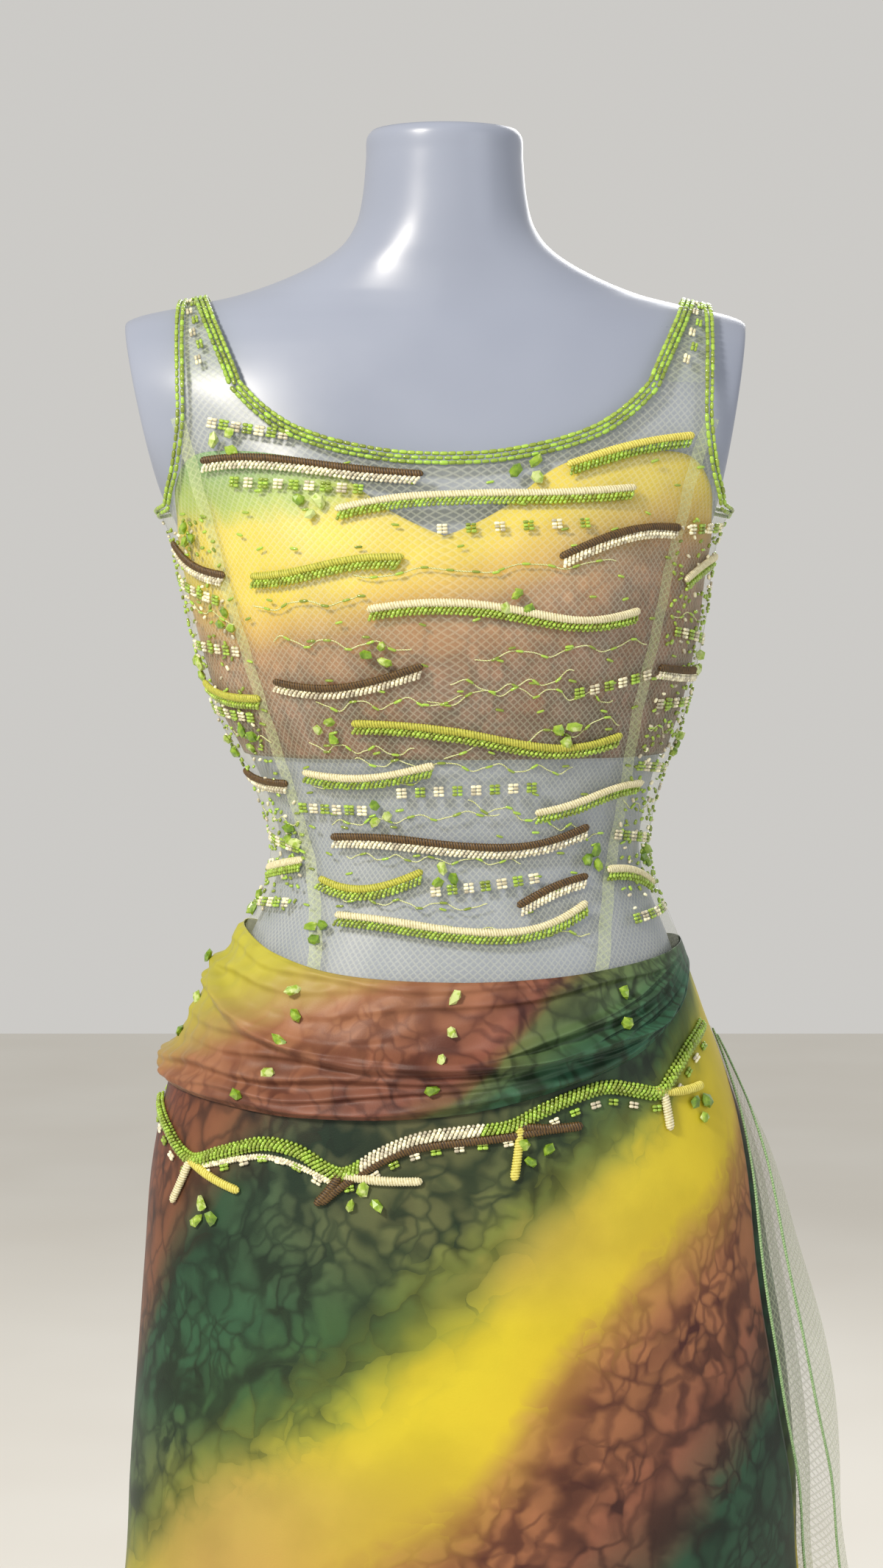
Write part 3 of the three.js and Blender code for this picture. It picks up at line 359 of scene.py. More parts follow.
def barrel(sides=6):
    """A bead 1 long on its first axis and 1 across: four rings, narrower at the ends."""
    along = np.array([-0.5, -0.32, 0.32, 0.5])
    wide = np.array([0.30, 0.5, 0.5, 0.30])
    around = np.arange(sides) / sides * 2 * math.pi
    ring = np.stack([np.zeros(sides), np.cos(around), np.sin(around)], axis=-1)
    points = along[:, None, None] * np.array([1, 0, 0]) + wide[:, None, None] * ring
    return points.reshape(-1, 3), tube_faces(4, sides)


BEAD, BEAD_FACES = barrel()


def path_on(surface, t, z, lift):
    """A line on a surface, with its frame at every point."""
    return path_from(lifted(surface, t, z, lift), lifted(surface, t, z, lift + 2))


def path_from(low, high):
    """A line's points, its direction, the normal from low to high, across it (up where it runs to the right)
    and how far each point lies along it."""
    normal = unit(high - low)
    run = unit(np.gradient(low, axis=0))
    step = np.linalg.norm(np.diff(low, axis=0), axis=-1)
    far = np.concatenate([[0], np.cumsum(step)])
    return {"point": low, "run": run, "normal": normal, "across": unit(np.cross(normal, run)), "far": far}


def along(path, far):
    """The path's frame at distances along it."""
    return {
        name: np.stack([np.interp(far, path["far"], path[name][:, k]) for k in range(3)], axis=-1)
        for name in ("point", "run", "normal", "across")
    }


def turned(frames, lean):
    """Frames turned in the surface by an angle in radians."""
    lean = np.asarray(lean)[..., None]
    run = frames["run"] * np.cos(lean) + frames["across"] * np.sin(lean)
    across = frames["across"] * np.cos(lean) - frames["run"] * np.sin(lean)
    return {**frames, "run": run, "across": across}


def spaced(path, pitch, margin=0.0):
    """Evenly spaced distances along a path, as near to the pitch as fills it."""
    length = path["far"][-1] - 2 * margin
    count = max(1, int(round(length / pitch)))
    return margin + (np.arange(count) + 0.5) * length / count


def beads_at(frames, across, up, size, tint, lean=0.0):
    """Barrel beads beside a path: size is length and width, lean turns the bead from the path's direction."""
    laid = turned(frames, lean)
    axes = np.stack([unit(laid["run"]), unit(laid["across"]), frames["normal"]], axis=1)
    centres = frames["point"] + frames["across"] * across + frames["normal"] * up
    wobble = 1 + 0.06 * rng.standard_normal((len(centres), 1))
    points, faces = many(BEAD, BEAD_FACES, centres, axes, np.array([size[0], size[1], size[1]]) * wobble)
    return points, faces, {"tint": tint}


CORD_STEP = 0.5  # between a cord's rings of points, mm
STITCH = 1.7  # from ridge to ridge of the satin stitch, drawn coarser than the real 0.5 mm to show, mm


def cord(path, across, up, width, height, sides=12):
    """A satin-stitched cord beside a path: an ellipse carried along it, ridged by slanting threads, with both
    ends rounded off."""
    far = np.arange(0, path["far"][-1] + CORD_STEP, CORD_STEP).clip(0, path["far"][-1])
    at = along(path, far)
    ends = np.minimum(far, far[-1] - far) / (width * 0.7)
    grow = np.sqrt(np.clip(1 - (1 - np.clip(ends, 0, 1)) ** 2, 0.01, 1))
    f, s = np.meshgrid(far, np.arange(sides) / sides * 2 * math.pi, indexing="ij")
    stitches = f / STITCH + 0.35 * np.cos(s)
    swell = 1 + 0.05 * np.sin(f / 9 + path["far"][-1])
    size = (grow[:, None] * (1 + 0.11 * np.sin(2 * math.pi * stitches)) * swell)[..., None]
    centre = at["point"] + at["across"] * across + at["normal"] * up
    points = (
        centre[:, None, :]
        + at["across"][:, None, :] * (np.cos(s)[..., None] * size * width / 2)
        + at["normal"][:, None, :] * (np.sin(s)[..., None] * size * height / 2)
    )
    return points.reshape(-1, 3), tube_faces(len(far), sides), {"far": stitches.ravel()}


# ---- Materials


def linear(colour):
    """An sRGB hex colour as the linear colour that the nodes take."""
    parts = [int(colour[i : i + 2], 16) / 255 for i in (1, 3, 5)]
    return (*(c / 12.92 if c <= 0.04045 else ((c + 0.055) / 1.055) ** 2.4 for c in parts), 1.0)


def add(tree, kind, inputs=None, output=0, stops=(), **settings):
    """Adds a shader node with its settings and gives back one of its outputs, or the node where output is
    None. Each input takes a value or another node's output; stops are a ramp's places, each with a hex colour
    or a grey value."""
    node = tree.nodes.new("ShaderNode" + kind)
    for name, value in settings.items():
        setattr(node, name, value)
    for i, (place, colour) in enumerate(stops):
        if i == 0:
            node.color_ramp.elements.remove(node.color_ramp.elements[1])
        stop = node.color_ramp.elements.new(place) if i else node.color_ramp.elements[0]
        stop.position = place
        stop.color = linear(colour) if isinstance(colour, str) else (colour, colour, colour, 1.0)
    for name, value in (inputs or {}).items():
        if isinstance(value, bpy.types.NodeSocket):
            tree.links.new(value, node.inputs[name])
        else:
            node.inputs[name].default_value = value
    return node if output is None else node.outputs[output]


def span(low, high, at_low, at_high):
    """What a Map Range node takes to carry low to at_low and high to at_high."""
    return {"From Min": low, "From Max": high, "To Min": at_low, "To Max": at_high}


EASED = {"interpolation_type": "SMOOTHERSTEP"}


def material(name, build, *choices):
    """A material: build makes its nodes in the tree and says what the surface takes."""
    made = bpy.data.materials.new(name)
    made.use_nodes = True
    tree = made.node_tree
    tree.nodes.clear()
    surface = add(tree, "BsdfPrincipled", build(tree, *choices))
    add(tree, "OutputMaterial", {"Surface": surface}, None)
    return made


def painted_silk(tree, dyes, toned, rims, cell, blooms):
    """Silk crepe de chine painted with spreading dyes: soft-edged zones of colour in which the dye has run
    into rounded, outlined blooms, with a low sheen. The mark "dye" runs through the zones; dyes, toned and
    rims give the cloth's, the aged patches' and the outlines' colours along it, the mark "tone" says where
    the patches are, blooms how strong the outlines are, and cell the size of a bloom in metres."""
    uv = add(tree, "UVMap", uv_map="cloth")
    dye, tone = (add(tree, "Attribute", None, "Fac", attribute_name=mark) for mark in ("dye", "tone"))
    # The cells' edges are bent twice: by slow drifts of 45 mm and by small lobes of 13 mm
    bent = uv
    for scale, reach in ((22.0, 0.034), (78.0, 0.012)):
        wander = add(tree, "TexNoise", {"Vector": uv, "Scale": scale, "Detail": 1.5}, "Color")
        moved = {0: wander, 1: (reach, reach, 0), 2: bent}
        bent = add(tree, "VectorMath", moved, operation="MULTIPLY_ADD")
    # Large and small blooms: the outline, the distance from the bloom's middle and each one's own shade
    pairs = []
    for share, line in ((1.0, 0.15), (0.46, 0.24)):
        size = {"Vector": bent, "Rotation": (0, 0, -0.6), "Scale": (cell[0] * share, cell[1] * share, 1)}
        laid = {"Vector": add(tree, "Mapping", size, vector_type="TEXTURE"), "Scale": 1.0, "Randomness": 0.85}
        near = add(tree, "TexVoronoi", laid, None).outputs
        edge = add(tree, "TexVoronoi", laid, feature="DISTANCE_TO_EDGE")
        # A soft dark line between blooms, and dark gaps where their rounded corners leave one
        thin = add(tree, "MapRange", {"Value": edge, **span(0.0, line, 0.62, 0.0)}, **EASED)
        corner = add(tree, "MapRange", {"Value": near["Distance"], **span(0.42, 0.80, 0.0, 1.0)}, **EASED)
        outline = add(tree, "Math", {0: thin, 1: corner}, operation="MAXIMUM")
        pairs.append((outline, near["Distance"], near["Color"]))
    patchy = add(tree, "TexNoise", {"Vector": uv, "Scale": 15.0, "Detail": 2.0})
    which = add(tree, "MapRange", {"Value": patchy, **span(0.46, 0.56, 0.0, 1.0)}, **EASED)
    outline, hollow, shade = (
        add(tree, "Mix", {0: which, 2: large, 3: small}, data_type="FLOAT") for large, small in zip(*pairs)
    )
    # The zones' borders run round whole blooms, and drift
    drift = add(tree, "TexNoise", {"Vector": uv, "Scale": 8.0, "Detail": 3.0})
    spread = add(tree, "Math", {0: drift, 1: 0.018, 2: dye}, operation="MULTIPLY_ADD")
    spread = add(tree, "Math", {0: shade, 1: 0.009, 2: spread}, operation="MULTIPLY_ADD")
    spread = add(tree, "Math", {0: hollow, 1: -0.012, 2: spread}, operation="MULTIPLY_ADD")
    spread = add(tree, "Math", {0: spread, 1: 0.0085}, operation="SUBTRACT")
    fresh, aged, rim, strength = (
        add(tree, "ValToRGB", {"Fac": spread}, stops=stops) for stops in (dyes, toned, rims, blooms)
    )
    cloth = add(tree, "Mix", {0: tone, 6: fresh, 7: aged}, 2, data_type="RGBA")
    smudge = add(tree, "TexNoise", {"Vector": bent, "Scale": 30.0, "Detail": 3.0})
    stain = add(tree, "MapRange", {"Value": smudge, **span(0.5, 0.74, 0.0, 0.45)}, **EASED)
    dark = add(tree, "Math", {0: stain, 1: outline}, operation="ADD")
    lines = add(tree, "Math", {0: dark, 1: strength}, operation="MULTIPLY", use_clamp=True)
    inked = add(tree, "Mix", {0: lines, 6: cloth, 7: rim}, 2, data_type="RGBA")
    # Each bloom is a little lighter or darker as a whole and palest in its middle
    cloudy = add(tree, "TexNoise", {"Vector": uv, "Scale": 13.0, "Detail": 4.0})
    cloud = add(tree, "MapRange", {"Value": cloudy, **span(0.3, 0.7, 0.90, 1.07)}, **EASED)
    paler = add(tree, "Math", {0: shade, 1: 0.45, 2: 0.12}, operation="MULTIPLY_ADD")
    paler = add(tree, "Math", {0: hollow, 1: -0.55, 2: paler}, operation="MULTIPLY_ADD")
    value = add(tree, "Math", {0: paler, 1: strength, 2: cloud}, operation="MULTIPLY_ADD")
    # Crepe: a pebbled weave, drawn at 1.1 mm because the real 0.3 mm one is too fine to show
    weave = add(tree, "TexNoise", {"Vector": uv, "Scale": 900.0, "Detail": 2.0})
    return {
        "Base Color": add(tree, "HueSaturation", {"Value": value, "Color": inked}),
        "Roughness": 0.5,
        "Specular IOR Level": 0.3,
        "Sheen Weight": 0.08,
        "Sheen Roughness": 0.35,
        "Normal": add(tree, "Bump", {"Height": weave, "Strength": 0.2, "Distance": 0.0005}),
    }


def net_cloth(tree, pale, paler, thin, thick, cell):
    """Nylon tulle: a sheer knitted net. The eye sees the cloth beneath through it, paled, with a faint
    diamond mesh: cover runs from thin in the holes to thick on the threads. The real holes are 1 mm, drawn
    at about 2 mm so that they show."""
    uv = add(tree, "UVMap", uv_map="cloth")
    lines = []
    for slant in (0.9, -0.9):
        size = {"Vector": uv, "Rotation": (0, 0, slant), "Scale": (cell, cell, 1)}
        across = add(tree, "SeparateXYZ", {0: add(tree, "Mapping", size, vector_type="TEXTURE")})
        saw = add(tree, "Math", {0: across, 1: 1.0}, operation="PINGPONG")
        line = {"Value": saw, **span(0.55, 0.95, 0.0, 1.0)}
        lines.append(add(tree, "MapRange", line, interpolation_type="SMOOTHSTEP"))
    mesh_line = add(tree, "Math", {0: lines[0], 1: lines[1]}, operation="MAXIMUM")
    uneven = add(tree, "TexNoise", {"Vector": uv, "Scale": 30.0, "Detail": 3.0})
    cover = add(tree, "MapRange", {"Value": mesh_line, **span(0.0, 1.0, thin, thick)})
    return {
        "Base Color": add(tree, "ValToRGB", {"Fac": uneven}, stops=[(0.3, pale), (0.7, paler)]),
        "Roughness": 0.7,
        "Specular IOR Level": 0.25,
        "Alpha": add(tree, "Math", {0: uneven, 1: 0.10, 2: cover}, operation="MULTIPLY_ADD"),
    }


def moulded_plastic(tree):
    """Glossy moulded plastic of a shop form: smooth blue-grey, with soft clear highlights."""
    place = add(tree, "TexCoord", None, "Object")
    slow = add(tree, "TexNoise", {"Vector": place, "Scale": 7.0, "Detail": 2.0})
    dull = add(tree, "TexNoise", {"Vector": place, "Scale": 60.0, "Detail": 4.0})
    return {
        "Base Color": add(tree, "ValToRGB", {"Fac": slow}, stops=[(0.3, "#8C93A5"), (0.7, "#9AA1B2")]),
        "Roughness": add(tree, "MapRange", {"Value": dull, **span(0.0, 1.0, 0.24, 0.38)}),
        "Normal": add(tree, "Bump", {"Height": slow, "Strength": 0.05, "Distance": 0.004}),
        "IOR": 1.5,
    }


def brushed_steel(tree):
    """Brushed stainless steel of the stand: a grey metal with fine level scratches."""
    long_grain = {"Vector": add(tree, "TexCoord", None, "Object"), "Scale": (30, 30, 900)}
    grain = add(tree, "TexNoise", {"Vector": add(tree, "Mapping", long_grain), "Scale": 1.0, "Detail": 3.0})
    return {
        "Base Color": add(tree, "ValToRGB", {"Fac": grain}, stops=[(0.3, "#8E9196"), (0.7, "#B4B6BA")]),
        "Metallic": 1.0,
        "Roughness": add(tree, "MapRange", {"Value": grain, **span(0.0, 1.0, 0.24, 0.42)}),
    }


def glass_beads(tree):
    """Glass seed and bugle beads: small, bright and wet-looking, no two quite the same colour. The mark
    "tint" runs from ivory, 0, through gold-green to lime, 1."""
    tint = add(tree, "Attribute", None, "Fac", attribute_name="tint")
    tints = [(0.0, "#E9E2C4"), (0.5, "#B5B458"), (0.75, "#A2B848"), (1.0, "#8FAE3C")]
    each = add(tree, "NewGeometry", None, "Random Per Island")
    varied = {
        "Hue": add(tree, "MapRange", {"Value": each, **span(0.0, 1.0, 0.485, 0.51)}),
        "Value": add(tree, "MapRange", {"Value": each, **span(0.0, 1.0, 0.6, 1.45)}),
        "Color": add(tree, "ValToRGB", {"Fac": tint}, stops=tints),
    }
    return {
        "Base Color": add(tree, "HueSaturation", varied),
        "Roughness": 0.16,
        "IOR": 1.52,
        "Coat Weight": 0.4,
        "Coat Roughness": 0.05,
    }


def satin_cord(tree, dark, light):
    """Satin-stitched rayon cord: a close wrap of shiny thread, with painted shade darkening the grooves
    between the stitches and fibres of uneven colour. The mark "far" counts the stitches along the cord."""
    place = add(tree, "TexCoord", None, "Object")
    count = add(tree, "Attribute", None, "Fac", attribute_name="far")
    turns = add(tree, "Math", {0: count, 1: 2 * math.pi}, operation="MULTIPLY")
    ridge = add(tree, "Math", {0: turns}, operation="SINE")
    fibres = add(tree, "TexNoise", {"Vector": place, "Scale": 520.0, "Detail": 3.0})
    # Painted shade: the stitch ridge darkens the colour in the grooves and lightens it on the crests, and the
    # fibres add the thread's own uneven colour
    height = add(tree, "Math", {0: ridge, 1: 0.22, 2: fibres}, operation="MULTIPLY_ADD")
    return {
        "Base Color": add(tree, "ValToRGB", {"Fac": height}, stops=[(0.26, dark), (0.66, light)]),
        "Roughness": 0.5,
        "Sheen Weight": 0.05,
        "Normal": add(tree, "Bump", {"Height": height, "Strength": 0.5, "Distance": 0.0006}),
    }


def stone_chips(tree):
    """Tumbled green glass-stone chips: translucent lime with pale faces and wet highlights."""
    place = add(tree, "TexCoord", None, "Object")
    each = add(tree, "NewGeometry", None, "Random Per Island")
    veins = add(tree, "TexNoise", {"Vector": place, "Scale": 260.0, "Detail": 3.0})
    mixed = add(tree, "Math", {0: each, 1: 0.55, 2: veins}, operation="MULTIPLY_ADD")
    greens = [(0.45, "#56781A"), (0.68, "#7C9E26"), (0.88, "#9CB840"), (1.0, "#C6D48A")]
    return {
        "Base Color": add(tree, "ValToRGB", {"Fac": mixed}, stops=greens),
        "Roughness": 0.2,
        "IOR": 1.54,
        "Coat Weight": 0.35,
    }


def matt_floor(tree):
    """A plain pale studio floor."""
    place = add(tree, "TexCoord", None, "Object")
    cloudy = add(tree, "TexNoise", {"Vector": place, "Scale": 2.0, "Detail": 2.0})
    greys = [(0.3, "#E2DED6"), (0.7, "#E7E4DD")]
    return {"Base Color": add(tree, "ValToRGB", {"Fac": cloudy}, stops=greys), "Roughness": 0.8}


# Skirt: brown, green, yellow, terracotta, dark green, then yellow, terracotta and green again to the hem.
# A zone is one eighth of the mark "dye".
SKIRT_DYES = listed(
    """
    0 #6B3A28, 0.105 #6E4630, 0.125 #4C3F2C, 0.145 #23432E, 0.205 #294A32, 0.238 #34502C, 0.256 #56662C,
    0.27 #93942F, 0.285 #BDAE2A, 0.3 #C9B728, 0.345 #CBB428, 0.37 #AC843E, 0.395 #966440, 0.46 #7E4E3A,
    0.495 #544232, 0.515 #264632, 0.6 #22412E, 0.63 #5C7030, 0.66 #C4B228, 0.735 #CDB627, 0.76 #A8783E,
    0.85 #7E4E3A, 0.88 #35492F, 1 #24482E
    """
)
SKIRT_TONED = listed(
    """
    0 #5E4030, 0.12 #524630, 0.16 #4E4E34, 0.225 #555A36, 0.25 #6E7434, 0.28 #AB9448, 0.34 #B08E4C,
    0.38 #A67640, 0.42 #8C5C3E, 0.5 #5A4A34, 1 #3A5234
    """
)
SKIRT_RIMS = listed(
    """
    0 #2E1418, 0.12 #2A2016, 0.15 #162A1C, 0.23 #20301C, 0.27 #6A6A18, 0.36 #7A4424, 0.4 #4C241E,
    0.49 #2C1A16, 0.52 #0E2016, 0.64 #1C2412, 0.78 #4C241E, 0.9 #14201A
    """
)
SKIRT_BLOOMS = listed(
    """
    0 0.5, 0.12 0.75, 0.16 0.9, 0.23 0.85, 0.252 0.5, 0.268 0, 0.352 0, 0.372 0.4, 0.4 0.8, 0.6 0.9,
    0.635 0.6, 0.655 0, 0.74 0, 0.77 0.6, 0.82 0.85
    """
)
YOKE_DYES = listed(
    """
    0 #B0B038, 0.19 #B0A83C, 0.235 #A08A4A, 0.275 #946648, 0.38 #82533E, 0.47 #744638, 0.52 #6A5636,
    0.56 #586038, 0.7 #4C6440, 0.77 #2E5640, 1 #274A38
    """
)
YOKE_RIMS = listed("0 #8F7A20, 0.24 #8A4A2C, 0.32 #4E241E, 0.5 #3A1E1A, 0.58 #26301C, 1 #10241C")
YOKE_BLOOMS = listed("0 0, 0.22 0.05, 0.3 0.45, 0.45 0.8, 0.6 0.75, 1 0.7")
BANDEAU_DYES = listed(
    """
    0 #5E9066, 0.19 #74A468, 0.235 #A9BC50, 0.27 #DCC83A, 0.42 #DEC62E, 0.49 #C9A040, 0.55 #A87A50,
    0.72 #8C5E46, 0.88 #6A443A, 1 #4E302E
    """
)
BANDEAU_RIMS = listed("0 #3E7248, 0.4 #A08A24, 0.6 #6A4230, 1 #38201E")
BANDEAU_BLOOMS = listed("0 0.3, 0.25 0, 0.48 0, 0.6 0.45, 1 0.9")

PLASTIC = material("moulded_grey_plastic", moulded_plastic)
STEEL = material("brushed_steel", brushed_steel)
SKIRT_LOOK = (SKIRT_DYES, SKIRT_TONED, SKIRT_RIMS, (0.022, 0.031), SKIRT_BLOOMS)
YOKE_LOOK = (YOKE_DYES, YOKE_DYES, YOKE_RIMS, (0.024, 0.018), YOKE_BLOOMS)
BANDEAU_LOOK = (BANDEAU_DYES, BANDEAU_DYES, BANDEAU_RIMS, (0.02, 0.02), BANDEAU_BLOOMS)
SKIRT_SILK = material("painted_silk_skirt", painted_silk, *SKIRT_LOOK)
YOKE_SILK = material("painted_silk_yoke", painted_silk, *YOKE_LOOK)
BANDEAU_SILK = material("painted_silk_bandeau", painted_silk, *BANDEAU_LOOK)
BODICE_NET = material("bodice_tulle", net_cloth, "#D5DABD", "#E6E9D4", 0.07, 0.24, 0.0018)
SKIRT_NET = material("skirt_tulle", net_cloth, "#CBD3B0", "#E0E5CC", 0.12, 0.34, 0.0022)
TAPE_NET = material("seam_tulle", net_cloth, "#C9D69A", "#DDE5B8", 0.16, 0.36, 0.0018)
STRAP_NET = material("strap_tulle", net_cloth, "#C9D3A8", "#DCE2C0", 0.10, 0.28, 0.0018)
BEADS = material("glass_beads", glass_beads)
CHIPS = material("green_stone_chips", stone_chips)
# Each cord's and thread's two colours: the darker is painted shade in the grooves between the stitches, the
# paler is the crests, and uneven fibres mix the two
CORDS = {
    "brown": material("satin_cord_brown", satin_cord, "#2A1C0A", "#64491E"),
    "ivory": material("satin_cord_ivory", satin_cord, "#BDB384", "#EAE2BE"),
    "lemon": material("satin_cord_lemon", satin_cord, "#B5A838", "#E4DA70"),
    "lime": material("satin_cord_lime", satin_cord, "#8A8C24", "#C4C24C"),
}
THREAD = material("couched_thread", satin_cord, "#A9AE5C", "#E0E4B4")
OVERLOCK = material("overlocked_thread", satin_cord, "#6C9656", "#A8C592")


# ---- The form and its stand

TORSO_COLUMNS = 220


def round_piece(name, rows, material, slot, replaced):
    """A closed piece from rows of points that run all the way round, its ends drawn in to the axis."""
    ends = [np.repeat(row.mean(axis=0, keepdims=True), rows.shape[1], axis=0) for row in (rows[0], rows[-1])]
    points = np.concatenate([ends[0][None], rows, ends[1][None]])
    faces = grid_faces(*points.shape[:2])
    return make_piece(name, points, faces, material, slot, replaced, weld=True)


def make_form():
    """The torso without the bust bridged. Beyond each arm cut's plane the points are drawn in to the plane
    by a soft minimum, so the cut's edge is slightly rounded."""
    stretches = ((700, 1300, 121), (1302, 1440, 92), (1443, 1502, 28))
    heights = np.concatenate([np.linspace(*stretch) for stretch in stretches])
    t, z = np.meshgrid(np.linspace(0, 2 * math.pi, TORSO_COLUMNS + 1), heights)
    points = body(t, z, bridged=False)
    for cut in ARM_CUTS:
        limit = cut["out"] - cut["slope"] * (ARM_CUT_HEIGHT - z)
        reach = points[..., 0] * cut["side"]
        held = limit - ARM_CUT_ROUND * np.logaddexp(0, (limit - reach) / ARM_CUT_ROUND)
        points[..., 0] = cut["side"] * mix(reach, held, smooth((z - ARM_CUT_FOOT) / 20))
    round_piece("shop_form", points, PLASTIC, "form_plastic", ["form"])


# The stand's profiles: radius and height
BASE = listed(
    """
    176 0, 179 0.5, 180 2, 180 5, 179.2 7, 177 8, 60 8, 27 8, 23.5 9, 22 12, 22 43, 21 45, 12.8 45,
    12.8 8
    """
)
POLE = listed("12.4 6.3, 12.5 8, 12.5 693, 14 693.7, 58 693.7, 60 695, 60 699, 59 699.7")


def lathe(profile, sides=96):
    """A profile of radius and height pairs carried round the pole."""
    around = np.linspace(0, 2 * math.pi, sides + 1)
    radius, height = np.array(profile, float).T
    x = radius[:, None] * np.cos(around)
    y = radius[:, None] * np.sin(around)
    return np.stack([x, y, np.broadcast_to(height[:, None], x.shape)], axis=-1)


def make_stand():
    round_piece("steel_base", lathe(BASE), STEEL, "stand_metal", ["stand_base"])
    round_piece("steel_pole", lathe(POLE), STEEL, "stand_metal", ["stand_pole"])


make_form()
make_stand()


# ---- Cloth sheets

MM_PER_DEGREE = 3.3  # round the body, in the cloth's laid-out pattern
OUTER_ZONE = 150  # height over which the first and the last painted zone run out, mm
THIN_ZONE = 20  # least height of a painted zone, mm
UNDER_BODICE = ["shop_form", "silk_bandeau"]
UNDER_NET = ["skirt_front_silk", "skirt_back_silk"]


def cloth_piece(name, node, t, z, points, material, slot, held, rests_on, marks=None, thick=0.0, weld=False):
    """A sheet of cloth from a grid of points: its UV map is the distance round the body and the height, in
    metres, and its flat size is that of the panel laid out."""
    turn = np.unwrap((np.asarray(t) / RAD + 90) * RAD, axis=1) / RAD
    uv = np.stack([turn * MM_PER_DEGREE * MM, np.broadcast_to(z, turn.shape) * MM], axis=-1)
    piece = make_piece(name, points, grid_faces(*t.shape), material, slot, [node], uv, marks, weld)
    if thick:
        wall = piece.modifiers.new("thickness", "SOLIDIFY")
        wall.thickness = thick * MM
        wall.offset = -1


def seam_line(z):
    return np.where(z < SEAM_START, follow(PRINCESS, "z", "out", z), follow(ARMHOLE, "z", "out", z))


def middle_at(z):
    return follow(FORM, "z", "shift", z) * smooth((SEAM_START - z) / 60)


def princess_edge(side, facing, top):
    """The edge between a middle and a side panel, from the waist seam up: angles and heights at shares v."""
    foot = waist_seam(facing * (90 - side * 35) * RAD) + WAIST_GAP

    def edge(v):
        z = mix(foot, top, v)
        return np.stack([angle_at(side * seam_line(z) + middle_at(z), z, facing), z])

    return edge


def waist_foot(left, right):
    (t0, z0), (t1, z1) = (edge(np.zeros(1))[:, 0] for edge in (left, right))

    def edge(u):
        t = mix(t0, t1, u)
        return np.stack([t, mix(waist_seam(t) + WAIST_GAP, mix(z0, z1, u), np.abs(2 * u - 1) ** 8)])

    return edge


def side_seam(side, facing):
    return facing * (0 if side > 0 else 180) * RAD


def armhole_at(side, facing, k):
    z = mix(UNDERARM, SEAM_START, k**1.6)
    t = angle_at(side * follow(ARMHOLE, "z", "out", z), z, facing)
    return np.stack([mix(side_seam(side, facing), t, smooth(k * 5)), z])


def between(foot, top, left, right, us, vs):
    """A patch between four edges in angle and height: each point is blended from the four edges, less the
    blend of the four corners."""
    f, g = foot(us)[:, None, :], top(us)[:, None, :]
    l, r = left(vs)[:, :, None], right(vs)[:, :, None]
    u, v = np.meshgrid(us, vs)
    corners = (
        (1 - u) * (1 - v) * f[:, :, :1]
        + u * (1 - v) * f[:, :, -1:]
        + (1 - u) * v * g[:, :, :1]
        + u * v * g[:, :, -1:]
    )
    return (1 - v) * f + v * g + (1 - u) * l + u * r - corners


def middle_panel(name, facing):
    left, right = (princess_edge(side, facing, STRAP_ROOT) for side in (-1, 1))
    scoop = FRONT_SCOOP if facing < 0 else BACK_SCOOP

    def top(u):
        x = mix(-STRAP["outer_root"], STRAP["outer_root"], u)
        z = np.where(np.abs(x) >= STRAP["inner_root"], STRAP_ROOT, follow(scoop, "x", "z", np.abs(x)))
        return np.stack([angle_at(x, z, facing), z])

    foot = waist_foot(left, right)
    us, vs = np.linspace(0, 1, 111), np.linspace(0, 1, 121)
    t, z = between(foot, top, left, right, us, vs)
    if facing > 0:
        t, z = t[:, ::-1], z[:, ::-1]
    u, v = np.meshgrid(us, vs)
    # Slack: shallow level wrinkles at the waist and soft pulls between the bars
    slack = 0.5 * np.sin(z / 6.1 + 2.2 * np.sin(5 * u)) * bell((z - 1045) / 45)
    slack += 0.35 * np.sin(z / 13 + 3 * u + 2 * np.sin(7 * u)) * smooth((1290 - z) / 60)
    points = lifted(body, t, z, ON_NET - 0.3 + slack)
    cloth_piece(name + "_net", name, t, z, points, BODICE_NET, "bodice_net", "stretched", UNDER_BODICE)


def side_panel(name, side, facing):
    seam = princess_edge(side, facing, SEAM_START)
    edge = side_seam(side, facing)

    def back(v):
        return np.stack([np.full_like(v, edge), mix(waist_seam(edge) + WAIST_GAP, UNDERARM, v)])

    us, vs = np.linspace(0, 1, 41), np.linspace(0, 1, 151)
    t, z = between(waist_foot(seam, back), lambda u: armhole_at(side, facing, 1 - u), seam, back, us, vs)
    u, v = np.meshgrid(us, vs)
    # Gathered: creases that run in from the side seam and die out before the princess seam
    gather_in = smooth(u * 1.3 + 0.15) * np.sin(np.pi * np.clip(v, 0, 1)) ** 0.5
    creases = 0.9 * np.sin(z / 3.4 + 1.6 * np.sin(4 * u + z / 30)) + 0.7 * np.sin(z / 7.3 - 2.5 * u)
    points = lifted(body, t, z, ON_NET - 0.2 + creases * gather_in * 0.8)
    if t[0, -1] < t[0, 0]:
        t, z, points = t[:, ::-1], z[:, ::-1], points[:, ::-1]
    cloth_piece(name + "_net", name, t, z, points, BODICE_NET, "bodice_net", "gathered", UNDER_BODICE)


def strap_inner(k):
    return mix(STRAP["inner_root"], STRAP["inner_crest"], np.sin(np.pi * k))


def strap_outer(k):
    return mix(STRAP["outer_root"], STRAP["outer_crest"], np.sin(np.pi * k))


def strap_lift(k):
    return mix(NET_LIFT, STRAP["crest_lift"], np.sin(np.pi * k)) + CLOTH


def strap(name, side):
    u, v = np.meshgrid(np.linspace(0, 1, 15), np.linspace(0, 1, 81))
    x = side * mix(strap_inner(v), strap_outer(v), u)
    points = shoulder(x, v * math.pi, strap_lift(v) - 0.3)
    # Laid out for the net's pattern: across in degrees, and 200 mm over the shoulder
    t = (x / MM_PER_DEGREE) * RAD
    z = STRAP_ROOT + v * 200
    if side < 0:
        t, z, points = t[:, ::-1], z[:, ::-1], points[:, ::-1]
    cloth_piece(name + "_net", name, t, z, points, STRAP_NET, "bodice_net", "stretched", ["shop_form"])


